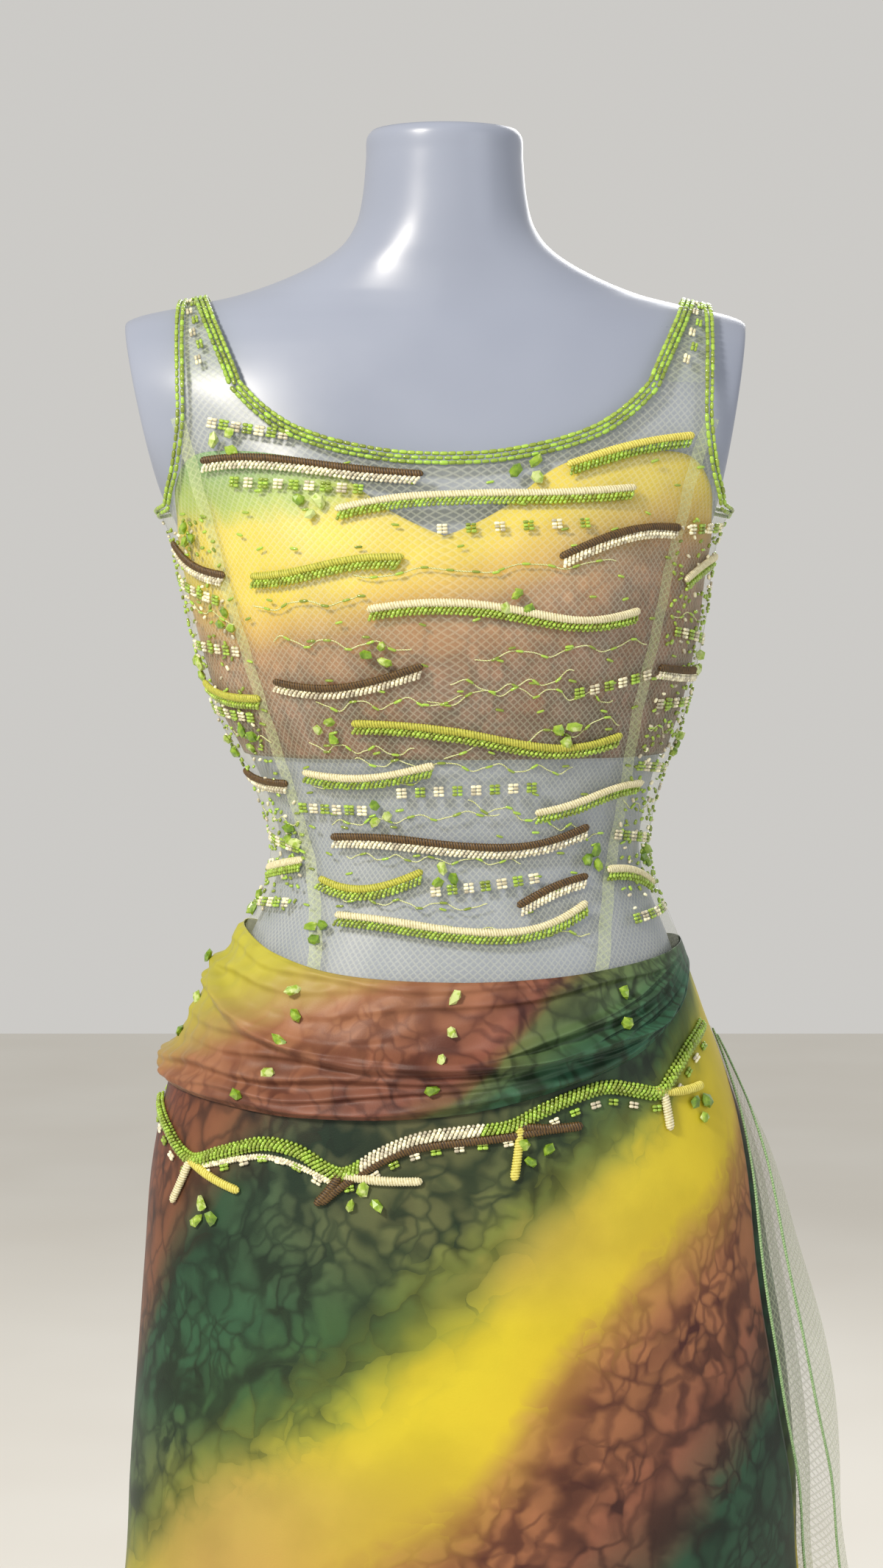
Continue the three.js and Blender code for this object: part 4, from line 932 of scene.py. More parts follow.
def dye_mark(edges, turn, z):
    """How far down through the painted zones each point lies: edges holds one list for each border between
    zones, of its heights at the turns in its first list. The mark grows by one zone from border to border
    and is scaled to run from 0 to 1."""
    turns, *heights = edges
    borders = [np.interp(turn, turns, row) for row in heights]
    mark = np.clip((borders[0] - z) / OUTER_ZONE, -1, 0) + 1
    for above, below in zip(borders[:-1], borders[1:]):
        mark = mark + np.clip((above - z) / np.maximum(above - below, THIN_ZONE), 0, 1)
    mark = mark + np.clip((borders[-1] - z) / OUTER_ZONE, 0, 1)
    return mark / (len(borders) + 1)


def bandeau_top(t):
    turn = np.abs((np.asarray(t) / RAD + 90 + 180) % 360 - 180)
    return follow(BANDEAU_TOP, "turn", "z", turn)


BANDEAU_ZONES = listed(
    """
    -90 -45 -20 0 20 45 90 140 200 270, 1262 1256 1262 1290 1330 1340 1320 1280 1250 1262,
    1205 1186 1196 1212 1232 1256 1250 1210 1190 1205, 1140 1130 1140 1152 1170 1200 1190 1150 1130 1140
    """
)


def make_bandeau():
    t, v = np.meshgrid(np.linspace(-180, 180, 281) * RAD, np.linspace(0, 1, 61))
    z = mix(BANDEAU_FOOT, bandeau_top(t), v)
    ease = 0.35 * np.sin(z / 5 + 3 * np.sin(t * 4)) * smooth((1150 - z) / 40)
    points = lifted(body, t, z, BANDEAU_LIFT + CLOTH - 0.2 + ease)
    dye = {"dye": dye_mark(BANDEAU_ZONES, angle_turn(t), z)}
    look = (BANDEAU_SILK, "bandeau_silk", "stretched", ["shop_form"])
    cloth_piece("silk_bandeau", "bandeau", t, z, points, *look, dye, thick=0.7, weld=True)


# Drape folds of the yoke: height across it (0 foot, 1 top), how proud in millimetres, tilt along the turn,
# width, and the turn round which each is strongest and over which it dies out
YOKE_FOLDS = table(
    """
    at proud tilt width turn over, 0.05 4.4 0.02 0.06 0 400, 0.13 3.4 0.06 0.035 -30 55,
    0.21 4.2 0.07 0.045 0 400, 0.29 3.6 0.1 0.035 -10 50, 0.37 4.4 0.1 0.045 -5 75,
    0.45 3.4 0.14 0.03 15 45, 0.52 4 0.1 0.045 0 400, 0.6 2.8 0.16 0.035 -58 34, 0.68 3.4 0.14 0.045 -62 40,
    0.76 2.6 0.1 0.045 30 50, 0.84 2.8 0.1 0.04 -66 36, 0.17 3 0.16 0.028 42 30, 0.33 3.2 0.2 0.028 50 30,
    0.56 2.6 0.2 0.028 48 30, 0.92 1.8 0.03 0.04 -40 60, 0.25 3.2 0.12 0.035 185 60,
    0.42 3.2 0.12 0.035 160 50, 0.7 3 0.12 0.04 200 60
    """
)
YOKE_CHIPS = table(
    """
    turn z, -37 966, -34 952, -34 937, -36 919, -42 904, -84 972, -84 950, -84 929, 0 966, 0 946, -1 930,
    -2 912, 40 966, 38 947
    """
)


def yoke_thickness(t, v):
    """The sash's thickness: long rounded folds across it that tilt and wander round the hips, thinned where
    it runs to a point at the right, and turned in at both edges."""
    turn = angle_turn(t)
    narrow = smooth((yoke_edge("top", t) - yoke_edge("foot", t) - 10) / 50)
    round_it = (np.asarray(t) + math.pi / 2) / math.pi
    out = 0
    for at, proud, tilt, width, middle, over in zip(*YOKE_FOLDS.values()):
        line = at + tilt * np.sin(2 * math.pi * round_it + at * 9) + 0.02 * np.sin(turn / 7 + at * 20)
        near = bell((turn - middle) / over) if over < 300 else 1
        d = (v - line) / width
        out = out + proud * near * np.where(d > 0, bell(d * 0.7), bell(d * 1.7))
    puckers = 0.9 * np.sin(turn * 0.8 + 16 * v) * bell((turn + 84) / 20) + 0.5 * np.sin(turn * 0.7 - 19 * v)
    hem = smooth(v / 0.035) * smooth((1 - v) / 0.03)
    return CLOTH * 0.6 + hem * narrow * (0.9 + 1.25 * out + puckers)


YOKE_ZONES = listed(
    """
    -90 -80 -58 -42 -20 0 10 20 40 62 90 112 140 180 225 270,
    905 912 934 952 972 995 1005 1015 1030 1045 1050 1020 985 950 920 905,
    800 805 820 840 868 905 938 972 1005 1020 1025 985 940 890 840 800,
    740 745 760 790 835 893 914 930 954 976 990 950 890 830 780 740
    """
)


def make_yoke():
    t, v = np.meshgrid(np.linspace(0, 360, 361) * RAD, np.linspace(0, 1, 121))
    z = mix(yoke_edge("foot", t), yoke_edge("top", t), v)
    points = lifted(skirt, t, z, YOKE_INSIDE + yoke_thickness(t, v))
    dye = {"dye": dye_mark(YOKE_ZONES, angle_turn(t), z)}
    look = (YOKE_SILK, "yoke_silk", "gathered", [*UNDER_NET, "bodice_front_net", "bodice_back_net"])
    cloth_piece("gathered_yoke", "hip_yoke", t, z, points, *look, dye, thick=0.6, weld=True)


# Heights of the borders between the skirt's painted zones, at these turns round the front and the back
FRONT_ZONES = listed(
    """
    -90 -84 -74 -60 -40 -20 0 10 20 32 45 60 90, 700 712 745 815 880 925 960 975 985 990 1000 1010 1020,
    600 606 620 650 692 738 800 838 868 892 912 945 990,
    430 445 465 500 545 585 645 705 750 786 812 838 900,
    290 300 320 352 400 452 515 555 590 625 668 708 760,
    110 125 150 185 235 290 350 380 415 455 490 530 590, -60 -40 -10 30 85 140 195 225 255 290 330 370 430,
    -260 -240 -200 -150 -90 -30 20 45 75 110 150 190 250
    """
)
BACK_ZONES = listed(
    """
    70 90 110 130 150 170 190 210 230 250 270, 1100 1060 1040 1010 985 960 925 885 835 770 700,
    1020 985 950 910 870 830 790 745 700 650 600, 960 930 880 820 760 700 640 585 530 480 430,
    900 870 790 700 620 550 490 430 380 335 290, 660 620 570 510 450 390 335 275 220 165 110,
    480 440 390 335 275 215 160 105 50 -5 -60, 250 220 170 115 60 5 -50 -100 -150 -205 -260
    """
)


def slit_at(z):
    return np.where(z > SLIT_TOP, 0, follow(SLIT_EDGE, "z", "turn", z))


def slit_open(z):
    return SLIT_GAPE["most"] * smooth((SLIT_TOP - z) / SLIT_GAPE["over"])


def skirt_panel(name, start, end, zones, tuck=0.0):
    """A hanging panel between two edges given in degrees at each height, from the hem to the waist seam. Its
    first edge is drawn in by tuck beside the slit, where it runs under the other panel."""
    u, v = np.meshgrid(np.linspace(0, 1, 151), np.linspace(0, 1, 241))
    crown = waist_seam(mix(start(SLIT_TOP), end(SLIT_TOP), u) * RAD) - WAIST_GAP
    z = mix(HEM, crown, v)
    t = mix(start(z), end(z), u) * RAD
    # The hem is turned under: a narrow step where the cloth is double
    hem = 0.45 * (1 - smooth((z - HEM - 9) / 1.5))
    sway = 0.4 * np.sin(t * 11 + z / 160) * smooth((800 - z) / 300)
    under = tuck * smooth(1 - u / 0.04) * slit_open(z) / SLIT_GAPE["most"]
    points = lifted(skirt, t, z, CLOTH - 0.2 + hem + sway - under)
    turn = angle_turn(t)
    # Aged patches: olive in the middle under the sash and behind, ochre low down at the left
    middle = bell((turn + 4) / 26) + bell((turn - 178) / 30)
    low_left = bell((turn + 44) / 34) * smooth((715 - z) / 60) * smooth((z - 380) / 90)
    tone = np.clip(middle * smooth((z - 760) / 70) + low_left, 0, 1)
    marks = {"dye": dye_mark(zones, turn, z), "tone": tone}
    look = (SKIRT_SILK, "skirt_silk", "hung", ["shop_form", "gathered_yoke"])
    cloth_piece(name + "_silk", name, t, z, points, *look, marks, thick=0.6)


def net_panel(name, start, end, crown, layer, flare, sides):
    """A net panel in the slit: it leaves the hip and stands further out the lower it hangs, most in its
    middle, with soft ripples along its free edges."""
    u, v = np.meshgrid(np.linspace(0, 1, 61), np.linspace(0, 1, 181))
    z = mix(HEM + 12, crown, v)
    t = mix(start - slit_at(z), end, u) * RAD
    fall = (crown - z) / (crown - HEM)
    opened = (1 - np.exp(-1.9 * fall)) / (1 - math.exp(-1.9))
    standing = mix(sides, 1, np.sin(np.pi * u))
    rest = CLOTH + 0.7 + layer * (CLOTH + 1)
    ripple = fall * (2.2 * np.sin(z / 41 + 9 * u) + 1.4 * np.sin(z / 23 - 14 * u)) * (0.4 + layer * 0.6)
    lift = rest + flare * opened * standing + CLOTH / 2 + np.maximum(ripple, -0.4 * flare * opened)
    points = lifted(skirt, t, z, lift)
    cloth_piece(name + "_net", name, t, z, points, SKIRT_NET, "skirt_net", "hung", UNDER_NET)
    return points


# Net panels in the slit: turns of the first edge, before the slit's own, and of the second, height of the
# top, layer from the skirt out, how far the hem stands out in the middle, and the share of that at the edges
NET_PANELS = (
    ("net_panel_inner", 1.5, 14, 930, 0, 16, 0.3),
    ("net_panel_outer", 7, 27, 924, 1, 60, 0.6),
)

make_bandeau()
middle_panel("bodice_front", -1)
middle_panel("bodice_back", 1)
side_panel("bodice_side_front_left", -1, -1)
side_panel("bodice_side_front_right", 1, -1)
side_panel("bodice_side_back_left", -1, 1)
side_panel("bodice_side_back_right", 1, 1)
strap("strap_left", -1)
strap("strap_right", 1)
make_yoke()
skirt_panel("skirt_front", lambda z: -180.0, lambda z: -slit_at(z), FRONT_ZONES)
skirt_panel("skirt_back", lambda z: -slit_at(z) - 0.5 * slit_open(z), lambda z: 180.0, BACK_ZONES, tuck=3.0)
hanging = [net_panel(*row) for row in NET_PANELS]


# ---- Embroidery

cord_parts = {colour: [] for colour in CORDS}
thread_parts = []
LEAN = 0.6  # how far a rope's bead columns lean over from upright, in radians
# Beads: length and width, mm
BUGLE, EDGE_BEAD, BLOCK_BEAD, SIDE_BEAD = (4.8, 1.7), (4.8, 2.7), (3.1, 2.1), (3.2, 2.0)
BAR_BEAD, ROPE_BEAD, STRING_BEAD = (2.2, 2.15), (2.3, 2.25), (2.1, 2.0)
BLOCK_ACROSS, BLOCK_DOWN = 3.3, 2.2  # from bead to bead in a block, mm
SEWN_SHARE = 0.62  # of the places for single beads, how many have one
CHIP = np.array([9.5, 7.4, 5.4])  # a stone chip's size, mm
# The tint of the beads under each colour of cord, from ivory, 0, to lime, 1
UNDER_CORD = {"brown": 0.0, "ivory": 0.9, "lemon": 1.0, "lime": 0.8}

# Raised bars: turn and height of both ends, how far the middle dips, how far the first half rises and the
# second falls, and the colour of the cord
STRIPS = listed(
    """
    -45 1291 -2 1279 -3 1.5 brown, 19 1285 46 1306 -4 0 lemon, -18 1258 35 1273 -2 2 ivory,
    21 1230 53 1250 -7 0 brown, -41 1220 -6 1230 0 -1.5 lime, -14 1201 42 1200 1 4.5 ivory,
    -41 1159 -4 1169 8 0 brown, -22 1134 44 1126 7 4.5 lime, -43 1103 -4 1108 6 0 ivory,
    20 1077 60 1094 -2 -1.5 ivory, -39 1061 39 1068 8 4 brown, -44 1033 -9 1040 9 0 lime,
    14 1018 38 1035 -3 0 brown, -34 1011 36 1019 12 4 ivory, -78 1243 -50 1221 4 0 brown,
    -80 1156 -47 1148 3 0 lime, -82 1101 -51 1095 2 0 brown, -80 1034 -52 1044 0 0 ivory,
    59 1218 82 1234 -3 0 ivory, 52 1166 80 1163 1 0 brown, 46 1038 74 1025 -4 0 ivory,
    128 1262 176 1270 4 2 brown, 196 1258 236 1240 -3 0 ivory, 118 1206 168 1198 5 3 lime,
    184 1184 240 1194 4 -3 brown, 122 1136 180 1146 6 3.5 ivory, 190 1112 238 1122 4 -2.5 lime,
    126 1066 184 1058 5 3 brown, 176 1022 232 1030 5 -3 ivory
    """
)


def line_on(surface, turn0, z0, turn1, z1, lift, sag=0.0, wave=0.0, count=60):
    """A line on a surface between two places, its middle dipping by sag, its halves rising and falling."""
    k = np.linspace(0, 1, count)
    z = mix(z0, z1, k) - sag * np.sin(np.pi * k) + wave * np.sin(2 * np.pi * k)
    return path_on(surface, turn_angle(mix(turn0, turn1, k)), z, lift)


def bead_columns(path, far, first, count, step, size, rise, tint):
    """Columns of beads side by side along a path, leaning over like the twists of a rope: each column runs
    down from the height first across the path, and rise says how high its ends stand and how much higher
    its middle does."""
    parts = []
    for k in range(count):
        frames = along(path, np.clip(far - k * step * math.sin(LEAN), 0, path["far"][-1]))
        across = first - k * step * math.cos(LEAN)
        up = rise[0] + rise[1] * (1 - (2 * k / (count - 1) - 1) ** 2)
        parts.append(beads_at(frames, across, up, size, tint, math.pi / 2 - LEAN))
    return parts


def make_strips():
    beads = []
    for turn0, z0, turn1, z1, sag, wave, colour in STRIPS:
        path = line_on(body, turn0, z0, turn1, z1, ON_NET, sag, wave)
        cord_parts[colour].append(cord(path, 2.5, 1.5, 4.7, 3.4))
        far = spaced(path, 2.8, 1.4)
        beads += bead_columns(path, far, -0.3, 3, 2.024, BAR_BEAD, (1.075, 0.9), UNDER_CORD[colour])
    return beads


ROPE_FRONT = table(
    """
    turn z, -88 889, -78 883, -70 876, -56 861, -46 868, -35 876, -27 873, -18 860, -11 872, -5 881, 2 886,
    9 889, 15 898, 22 906, 30 911, 37 908, 44 905, 50 915, 59 928, 74 940
    """
)
ROPE_BACK = table(
    """
    turn z, 119 896, 128 899, 138 896, 150 890, 164 876, 178 880, 192 881, 206 872, 220 864, 234 874,
    248 881, 262 888
    """
)
# A second line under the rope in front: an ivory bead string, then a brown cord
UNDER_IVORY = table("turn z, -52 858, -46 862, -40 866, -34 868, -28 865, -22 858, -19 853")
UNDER_BROWN = table("turn z, -22 842, -17 855, -8 873, -1 879, 10 884, 16 887, 23 889")
# Side twigs: turn and height of both ends and the colour of the cord
TWIGS = listed(
    """
    -57 862 -40 846 lemon, -56 861 -62 832 ivory, -18 860 -4 857 ivory, -18 861 -23 841 brown,
    11 892 9 857 lemon, 10 890 23 889 brown, 45 906 44 882 ivory, 42 906 60 906 lemon,
    126 898 136 876 brown, 164 877 150 858 lemon, 165 877 184 864 ivory, 220 867 232 848 brown
    """
)


def route_on(route, lift, count=160):
    """A line on the skirt through a table's places."""
    turn = np.linspace(route["turn"][0], route["turn"][-1], count)
    return path_on(skirt, turn_angle(turn), follow(route, "turn", "z", turn), lift)


def hip_rope(route, ivory):
    """The beaded rope: leaning columns of five beads that crown over its middle, ivory where ivory says, and
    two-by-two bead drops below it, ivory and lime in turn."""
    path = route_on(route, ON_SILK)
    far = spaced(path, 2.9, 1.5)
    turn = np.interp(far, [0, path["far"][-1]], [route["turn"][0], route["turn"][-1]])
    tint = np.repeat(np.where((turn > ivory[0]) & (turn < ivory[1]), 0.0, 0.92), len(BEAD))
    beads = bead_columns(path, far, 3.5, 5, 2.0, ROPE_BEAD, (1.1, 2.4), tint)
    for i, place in enumerate(spaced(path, 14.5, 8)):
        beads += bead_block(path, place, 2, -9.0, 0.0 if i % 2 else 0.95)
    return beads


def bead_block(path, place, deep, across, tint):
    """A small block of beads, two wide, at a place along a path, its middle this far across the path."""
    parts = []
    frame_there = along(path, np.array([place]))
    for i in range(2):
        moved = {**frame_there, "point": frame_there["point"] + frame_there["run"] * (i - 0.5) * BLOCK_ACROSS}
        for j in range(deep):
            down = (j - (deep - 1) / 2) * BLOCK_DOWN
            parts.append(beads_at(moved, across + down, 1.1, BLOCK_BEAD, tint))
    return parts


# Rows of two-by-three bead blocks on the bodice: turn and height of both ends, and how many
CHECK_ROWS = listed(
    """
    -39 1316 -22 1306 7, -40 1280 -11 1272 9, -2 1248 28 1253 6, 26 1154 50 1165 6, -16 1092 21 1096 8,
    -50 1082 -24 1081 6, -8 1029 22 1038 7, -82 1222 -54 1208 7, -80 1182 -50 1178 7, -82 1142 -52 1138 7,
    -80 1060 -54 1054 6, -82 1014 -54 1018 6, 56 1252 80 1256 5, 56 1190 82 1184 6, 54 1146 82 1146 6,
    54 1108 80 1104 6, 50 1064 78 1058 6, 52 1008 80 1012 6, 132 1232 160 1236 7, 194 1216 226 1210 7,
    140 1160 168 1168 6, 192 1148 224 1144 7, 134 1098 166 1092 7, 186 1056 220 1062 7
    """
)
# Fine couched threads: turn and height of both ends, how many waves and how tall they are
THREADS = listed(
    """
    -42 1204 -14 1209 2 2, -16 1222 34 1230 3 2, -38 1186 -6 1182 3 2.5, -30 1146 2 1150 3 3,
    4 1176 46 1184 3 2.5, 0 1160 38 1150 4 3, -4 1148 26 1166 3 3, -36 1122 -8 1118 3 2.5,
    -24 1112 30 1106 5 2.5, -2 1118 42 1138 3 4, -42 1096 -6 1100 4 2, -38 1072 10 1080 4 2,
    2 1086 44 1062 4 3, -34 1052 16 1048 5 2, -36 1024 6 1020 4 2, -6 1008 34 1002 4 1.5,
    -76 1208 -50 1196 2 2, -78 1132 -50 1124 3 2, -80 1078 -52 1070 3 2, 54 1200 82 1196 2 2,
    54 1132 80 1126 3 2, 52 1084 78 1076 3 2, 124 1246 172 1240 4 2, 190 1232 236 1226 4 2,
    122 1184 172 1176 4 2.5, 188 1166 236 1170 4 2.5, 124 1116 176 1122 4 2.5, 188 1092 236 1098 4 2.5,
    126 1040 176 1034 4 2, 186 1006 230 1012 4 2
    """
)
# Where clusters of three stone chips sit on the bodice
BODICE_CHIPS = listed(
    """
    -36 1304, -23 1263, 12 1284, -53 1196, 12 1206, -13 1178, -29 1132, 26 1130, -60 1126, -21 1079,
    -58 1062, 41 1049, 72 1047, -4 1039, -39 1003, 78 1169, -64 1249, -80 1168, -82 1118, 82 1120, -80 1012,
    150 1252, 208 1226, 142 1190, 226 1166, 176 1104, 146 1082, 212 1040, 160 1028
    """
)
HIP_CHIPS = listed("-50 829, -14 845, 13 874, 57 893, 146 848, 196 862, 236 842")


def edge_rows(low, high, width, count):
    """Rows of bugle beads along the cloth side of an edge."""
    path = path_from(low, high)
    beads = []
    for k in range(count):
        frames = along(path, spaced(path, 4.9) + (k % 2) * 2.3 - 1.1)
        across = -(1.2 + k * (width - 2.0) / (count - 1))
        beads.append(beads_at(frames, across, 1.2, EDGE_BEAD, 0.9 + 0.05 * k))
    return beads


def neck_line(lift):
    """The neckline all round: the front scoop, over one shoulder, the back scoop and over the other, and on
    to its first point again."""
    x = np.linspace(-STRAP["inner_root"], STRAP["inner_root"], 90)
    front, back = (follow(scoop, "x", "z", np.abs(x)) for scoop in (FRONT_SCOOP, BACK_SCOOP))
    k = np.linspace(0, 1, 60)[1:-1]
    crest = strap_lift(k) - CLOTH + lift
    scoop = lifted(body, angle_at(x, front, -1), front, NET_LIFT + lift)
    behind = lifted(body, angle_at(-x, back, 1), back, NET_LIFT + lift)
    over = shoulder(strap_inner(k), k * math.pi, crest)
    home = shoulder(-strap_inner(k), (1 - k) * math.pi, crest)
    return np.concatenate([scoop, over, behind, home, scoop[:1]])


def arm_line(side, lift):
    """An armhole's edge: up its front, over the shoulder and down its back."""
    k = np.linspace(0, 1, 40)
    rises = []
    for facing in (-1, 1):
        t, z = armhole_at(side, facing, k)
        middle = np.linspace(SEAM_START, STRAP_ROOT, 8)[1:-1]
        t = np.append(t, angle_at(side * follow(ARMHOLE, "z", "out", middle), middle, facing))
        rises.append(lifted(body, t, np.append(z, middle), NET_LIFT + lift))
    over = np.linspace(0, 1, 60)
    crest = shoulder(side * strap_outer(over), over * math.pi, strap_lift(over) - CLOTH + lift)
    line = np.concatenate([rises[0], crest, rises[1][::-1]])
    return line[::-1] if side > 0 else line


def edge_piece(name, node, line, width, count):
    beads = edge_rows(line(CLOTH), line(CLOTH + 2), width, count)
    join_pieces(name, beads, BEADS, "edge_beads", [node])


def strap_checks(side):
    """Bead blocks down the middle of a strap."""
    k = np.linspace(0.02, 0.98, 90)
    x = side * (strap_inner(k) * 0.45 + strap_outer(k) * 0.55)
    path = path_from(*(shoulder(x, k * math.pi, strap_lift(k) + lift) for lift in (0, 2)))
    beads = []
    for i, place in enumerate(spaced(path, 10.5, 6)):
        beads += bead_block(path, place, 2, 1.5 - 3.0 * (i % 2), 0.9 if i % 2 else 0.1)
    return beads


def wavy_thread(turn0, z0, turn1, z1, waves, tall):
    k = np.linspace(0, 1, 140)
    wave = 0.95 * np.sin(2 * math.pi * waves * k + turn0) + 0.2 * np.sin(2 * math.pi * waves * 2.3 * k + z0)
    z = mix(z0, z1, k) + tall * wave
    return path_on(body, turn_angle(mix(turn0, turn1, k)), z, ON_NET)


def chip_shape():
    """A pebble with twenty faces, about 1 across."""
    g = (1 + math.sqrt(5)) / 2
    points = [(-1, g, 0), (1, g, 0), (-1, -g, 0), (1, -g, 0), (0, -1, g), (0, 1, g)]
    points += [(0, -1, -g), (0, 1, -g), (g, 0, -1), (g, 0, 1), (-g, 0, -1), (-g, 0, 1)]
    faces = "0 11 5 0 5 1 0 1 7 0 7 10 0 10 11 1 5 9 5 11 4 11 10 2 10 7 6 7 1 8"
    faces += " 3 9 4 3 4 2 3 2 6 3 6 8 3 8 9 4 9 5 2 4 11 6 2 10 8 6 7 9 8 1"
    corners = np.array(faces.split(), int).reshape(-1, 3)
    return unit(np.array(points, float)) * 0.5, corners


def chips_at(frames, size):
    """Pebbles on a surface, each knocked about in shape and turned its own way."""
    shape, faces = chip_shape()
    count = len(frames["point"])
    laid = turned(frames, rng.uniform(0, 2 * math.pi, count))
    tilt = rng.uniform(-0.35, 0.35, count)[:, None]
    tilted = laid["run"] * np.cos(tilt) + frames["normal"] * np.sin(tilt)
    axes = np.stack([tilted, laid["across"], frames["normal"]], axis=1)
    sizes = size * rng.uniform(0.8, 1.2, (count, 3))
    knocked = shape * (1 + 0.22 * rng.standard_normal((count, len(shape), 1)).clip(-1, 1))
    return many(knocked, faces, frames["point"], axes, sizes)


def frames_on(surface, turn, z, lift):
    """Frames at single places on a surface."""
    t, z = turn_angle(turn), np.asarray(z, float)
    low = lifted(surface, t, z, lift)
    normal = unit(lifted(surface, t, z, np.asarray(lift) + 2) - low)
    run = unit(lifted(surface, t + 0.01, z, lift) - low)
    return {"point": low, "run": run, "normal": normal, "across": unit(np.cross(normal, run))}


def clusters(places, spread):
    """Three places close round each of the given ones."""
    turn, z = np.array(places, float).T
    around = rng.uniform(0, 2 * math.pi, len(turn))
    three = around[:, None] + np.arange(3) * 2.1
    turn = turn[:, None] + np.cos(three) * spread / 2.4
    return turn.ravel(), (z[:, None] + np.sin(three) * spread).ravel()


def make_chips():
    lots = []
    for surface, places, spread, lift, grown in (
        (body, BODICE_CHIPS, 5.8, ON_NET + 1.7, 0.95),
        (skirt, HIP_CHIPS, 6.4, ON_SILK + 1.9, 1.05),
    ):
        turn, z = clusters(places, spread)
        lots.append(chips_at(frames_on(surface, turn, z, lift), CHIP * grown))
    turn, z = YOKE_CHIPS.values()
    t = turn_angle(turn)
    v = (z - yoke_edge("foot", t)) / (yoke_edge("top", t) - yoke_edge("foot", t))
    on_yoke = frames_on(skirt, turn, z, YOKE_INSIDE + yoke_thickness(t, v) + 1.5)
    lots.append(chips_at(on_yoke, CHIP * 1.05))
    join_pieces("stone_chips", lots, CHIPS, "edge_beads", flat=True)


def on_bodice(turn, z):
    """Whether a place is on the bodice's net, clear of the neckline's and the armholes' beads."""
    x = np.abs(body(turn_angle(turn), z)[..., 0])
    scoop = np.where(np.abs(turn) < 90, follow(FRONT_SCOOP, "x", "z", x), follow(BACK_SCOOP, "x", "z", x))
    return (z < scoop - 12) & ((z < UNDERARM - 8) | (x < follow(ARMHOLE, "z", "out", z) - 9))


def sewn_frames(turn, z, lean):
    """Frames just over the net at those of the places that lie on the bodice and that chance keeps, turned
    by chance up to lean."""
    keep = (rng.uniform(0, 1, len(turn)) < SEWN_SHARE) & on_bodice(turn, z)
    frames = frames_on(body, turn[keep], z[keep], ON_NET + 0.8)
    return turned(frames, rng.uniform(-lean, lean, keep.sum()))


def side_beads(low, high):
    """Short beads sewn thickly over a side panel between two turns, in loose level rows, lime and ivory
    mixed."""
    turn, z = np.meshgrid(np.arange(low, high, 2.9), np.arange(1014, 1262, 7.0))
    turn = (turn + rng.uniform(-1.2, 1.2, turn.shape)).ravel()
    z = (z + rng.uniform(-2.6, 2.6, z.shape)).ravel()
    frames = sewn_frames(turn, z, 1.2)
    lime = rng.uniform(0, 1, len(frames["point"])) < 0.7
    return beads_at(frames, 0, 0, SIDE_BEAD, np.repeat(np.where(lime, 0.93, 0.05), len(BEAD)))


def scattered_bugles():
    """Single bugle beads dotted over the bodice in loose level rows."""
    turn, z = [], []
    for i, level in enumerate(np.arange(1016, 1290, 13.0)):
        places = np.arange(-84, 264, 13.0) + (i % 2) * 6.5
        turn.append(places + rng.uniform(-3, 3, len(places)))
        z.append(level + rng.uniform(-3.5, 3.5, len(places)))
    return beads_at(sewn_frames(np.concatenate(turn), np.concatenate(z), 0.35), 0, 0, BUGLE, 0.95)


def make_embroidery():
    join_pieces("bar_beads", make_strips(), BEADS, "edge_beads")
    beads = []
    for i, (turn0, z0, turn1, z1, count) in enumerate(CHECK_ROWS):
        path = line_on(body, turn0, z0, turn1, z1, ON_NET)
        for j, place in enumerate(spaced(path, path["far"][-1] / count)):
            beads += bead_block(path, place, 3, 0.0, 0.92 if (i + j) % 2 else 0.05)
    for row in THREADS:
        path = wavy_thread(*row)
        thread_parts.append(cord(path, 0.0, 0.3, 0.8, 0.7, sides=6))
        beads.append(beads_at(along(path, spaced(path, 15, 5)), 0, 0.9, BUGLE, 0.95))
    beads += strap_checks(-1) + strap_checks(1)
    beads += [side_beads(-87, -52), side_beads(54, 88)]
    beads.append(scattered_bugles())
    join_pieces("bodice_beads", beads, BEADS, "edge_beads")

    front = hip_rope(ROPE_FRONT, (-18, 9))
    under = route_on(UNDER_IVORY, ON_SILK, 60)
    front += bead_columns(under, spaced(under, 2.0, 1), 1.0, 2, 1.932, STRING_BEAD, (1.0, 0.8), 0.03)
    join_pieces("hip_rope_beads_front", front, BEADS, "rope_beads", ["hip_rope_front"])
    back = hip_rope(ROPE_BACK, (164, 206))
    join_pieces("hip_rope_beads_back", back, BEADS, "rope_beads", ["hip_rope_back"])
    cord_parts["brown"].append(cord(route_on(UNDER_BROWN, ON_SILK, 80), 0.0, 1.6, 5.2, 3.8))
    for turn0, z0, turn1, z1, colour in TWIGS:
        path = line_on(skirt, turn0, z0, turn1, z1, ON_SILK, 1.5)
        cord_parts[colour].append(cord(path, 0.0, 1.8, 5.4, 4.2))
    for colour, parts in cord_parts.items():
        nodes = [f"strip_{i + 1:02d}_{row[-1]}" for i, row in enumerate(STRIPS) if row[-1] == colour]
        join_pieces("cords_" + colour, parts, CORDS[colour], "cord_" + colour, nodes)
    join_pieces("couched_threads", thread_parts, THREAD, "cord_ivory")


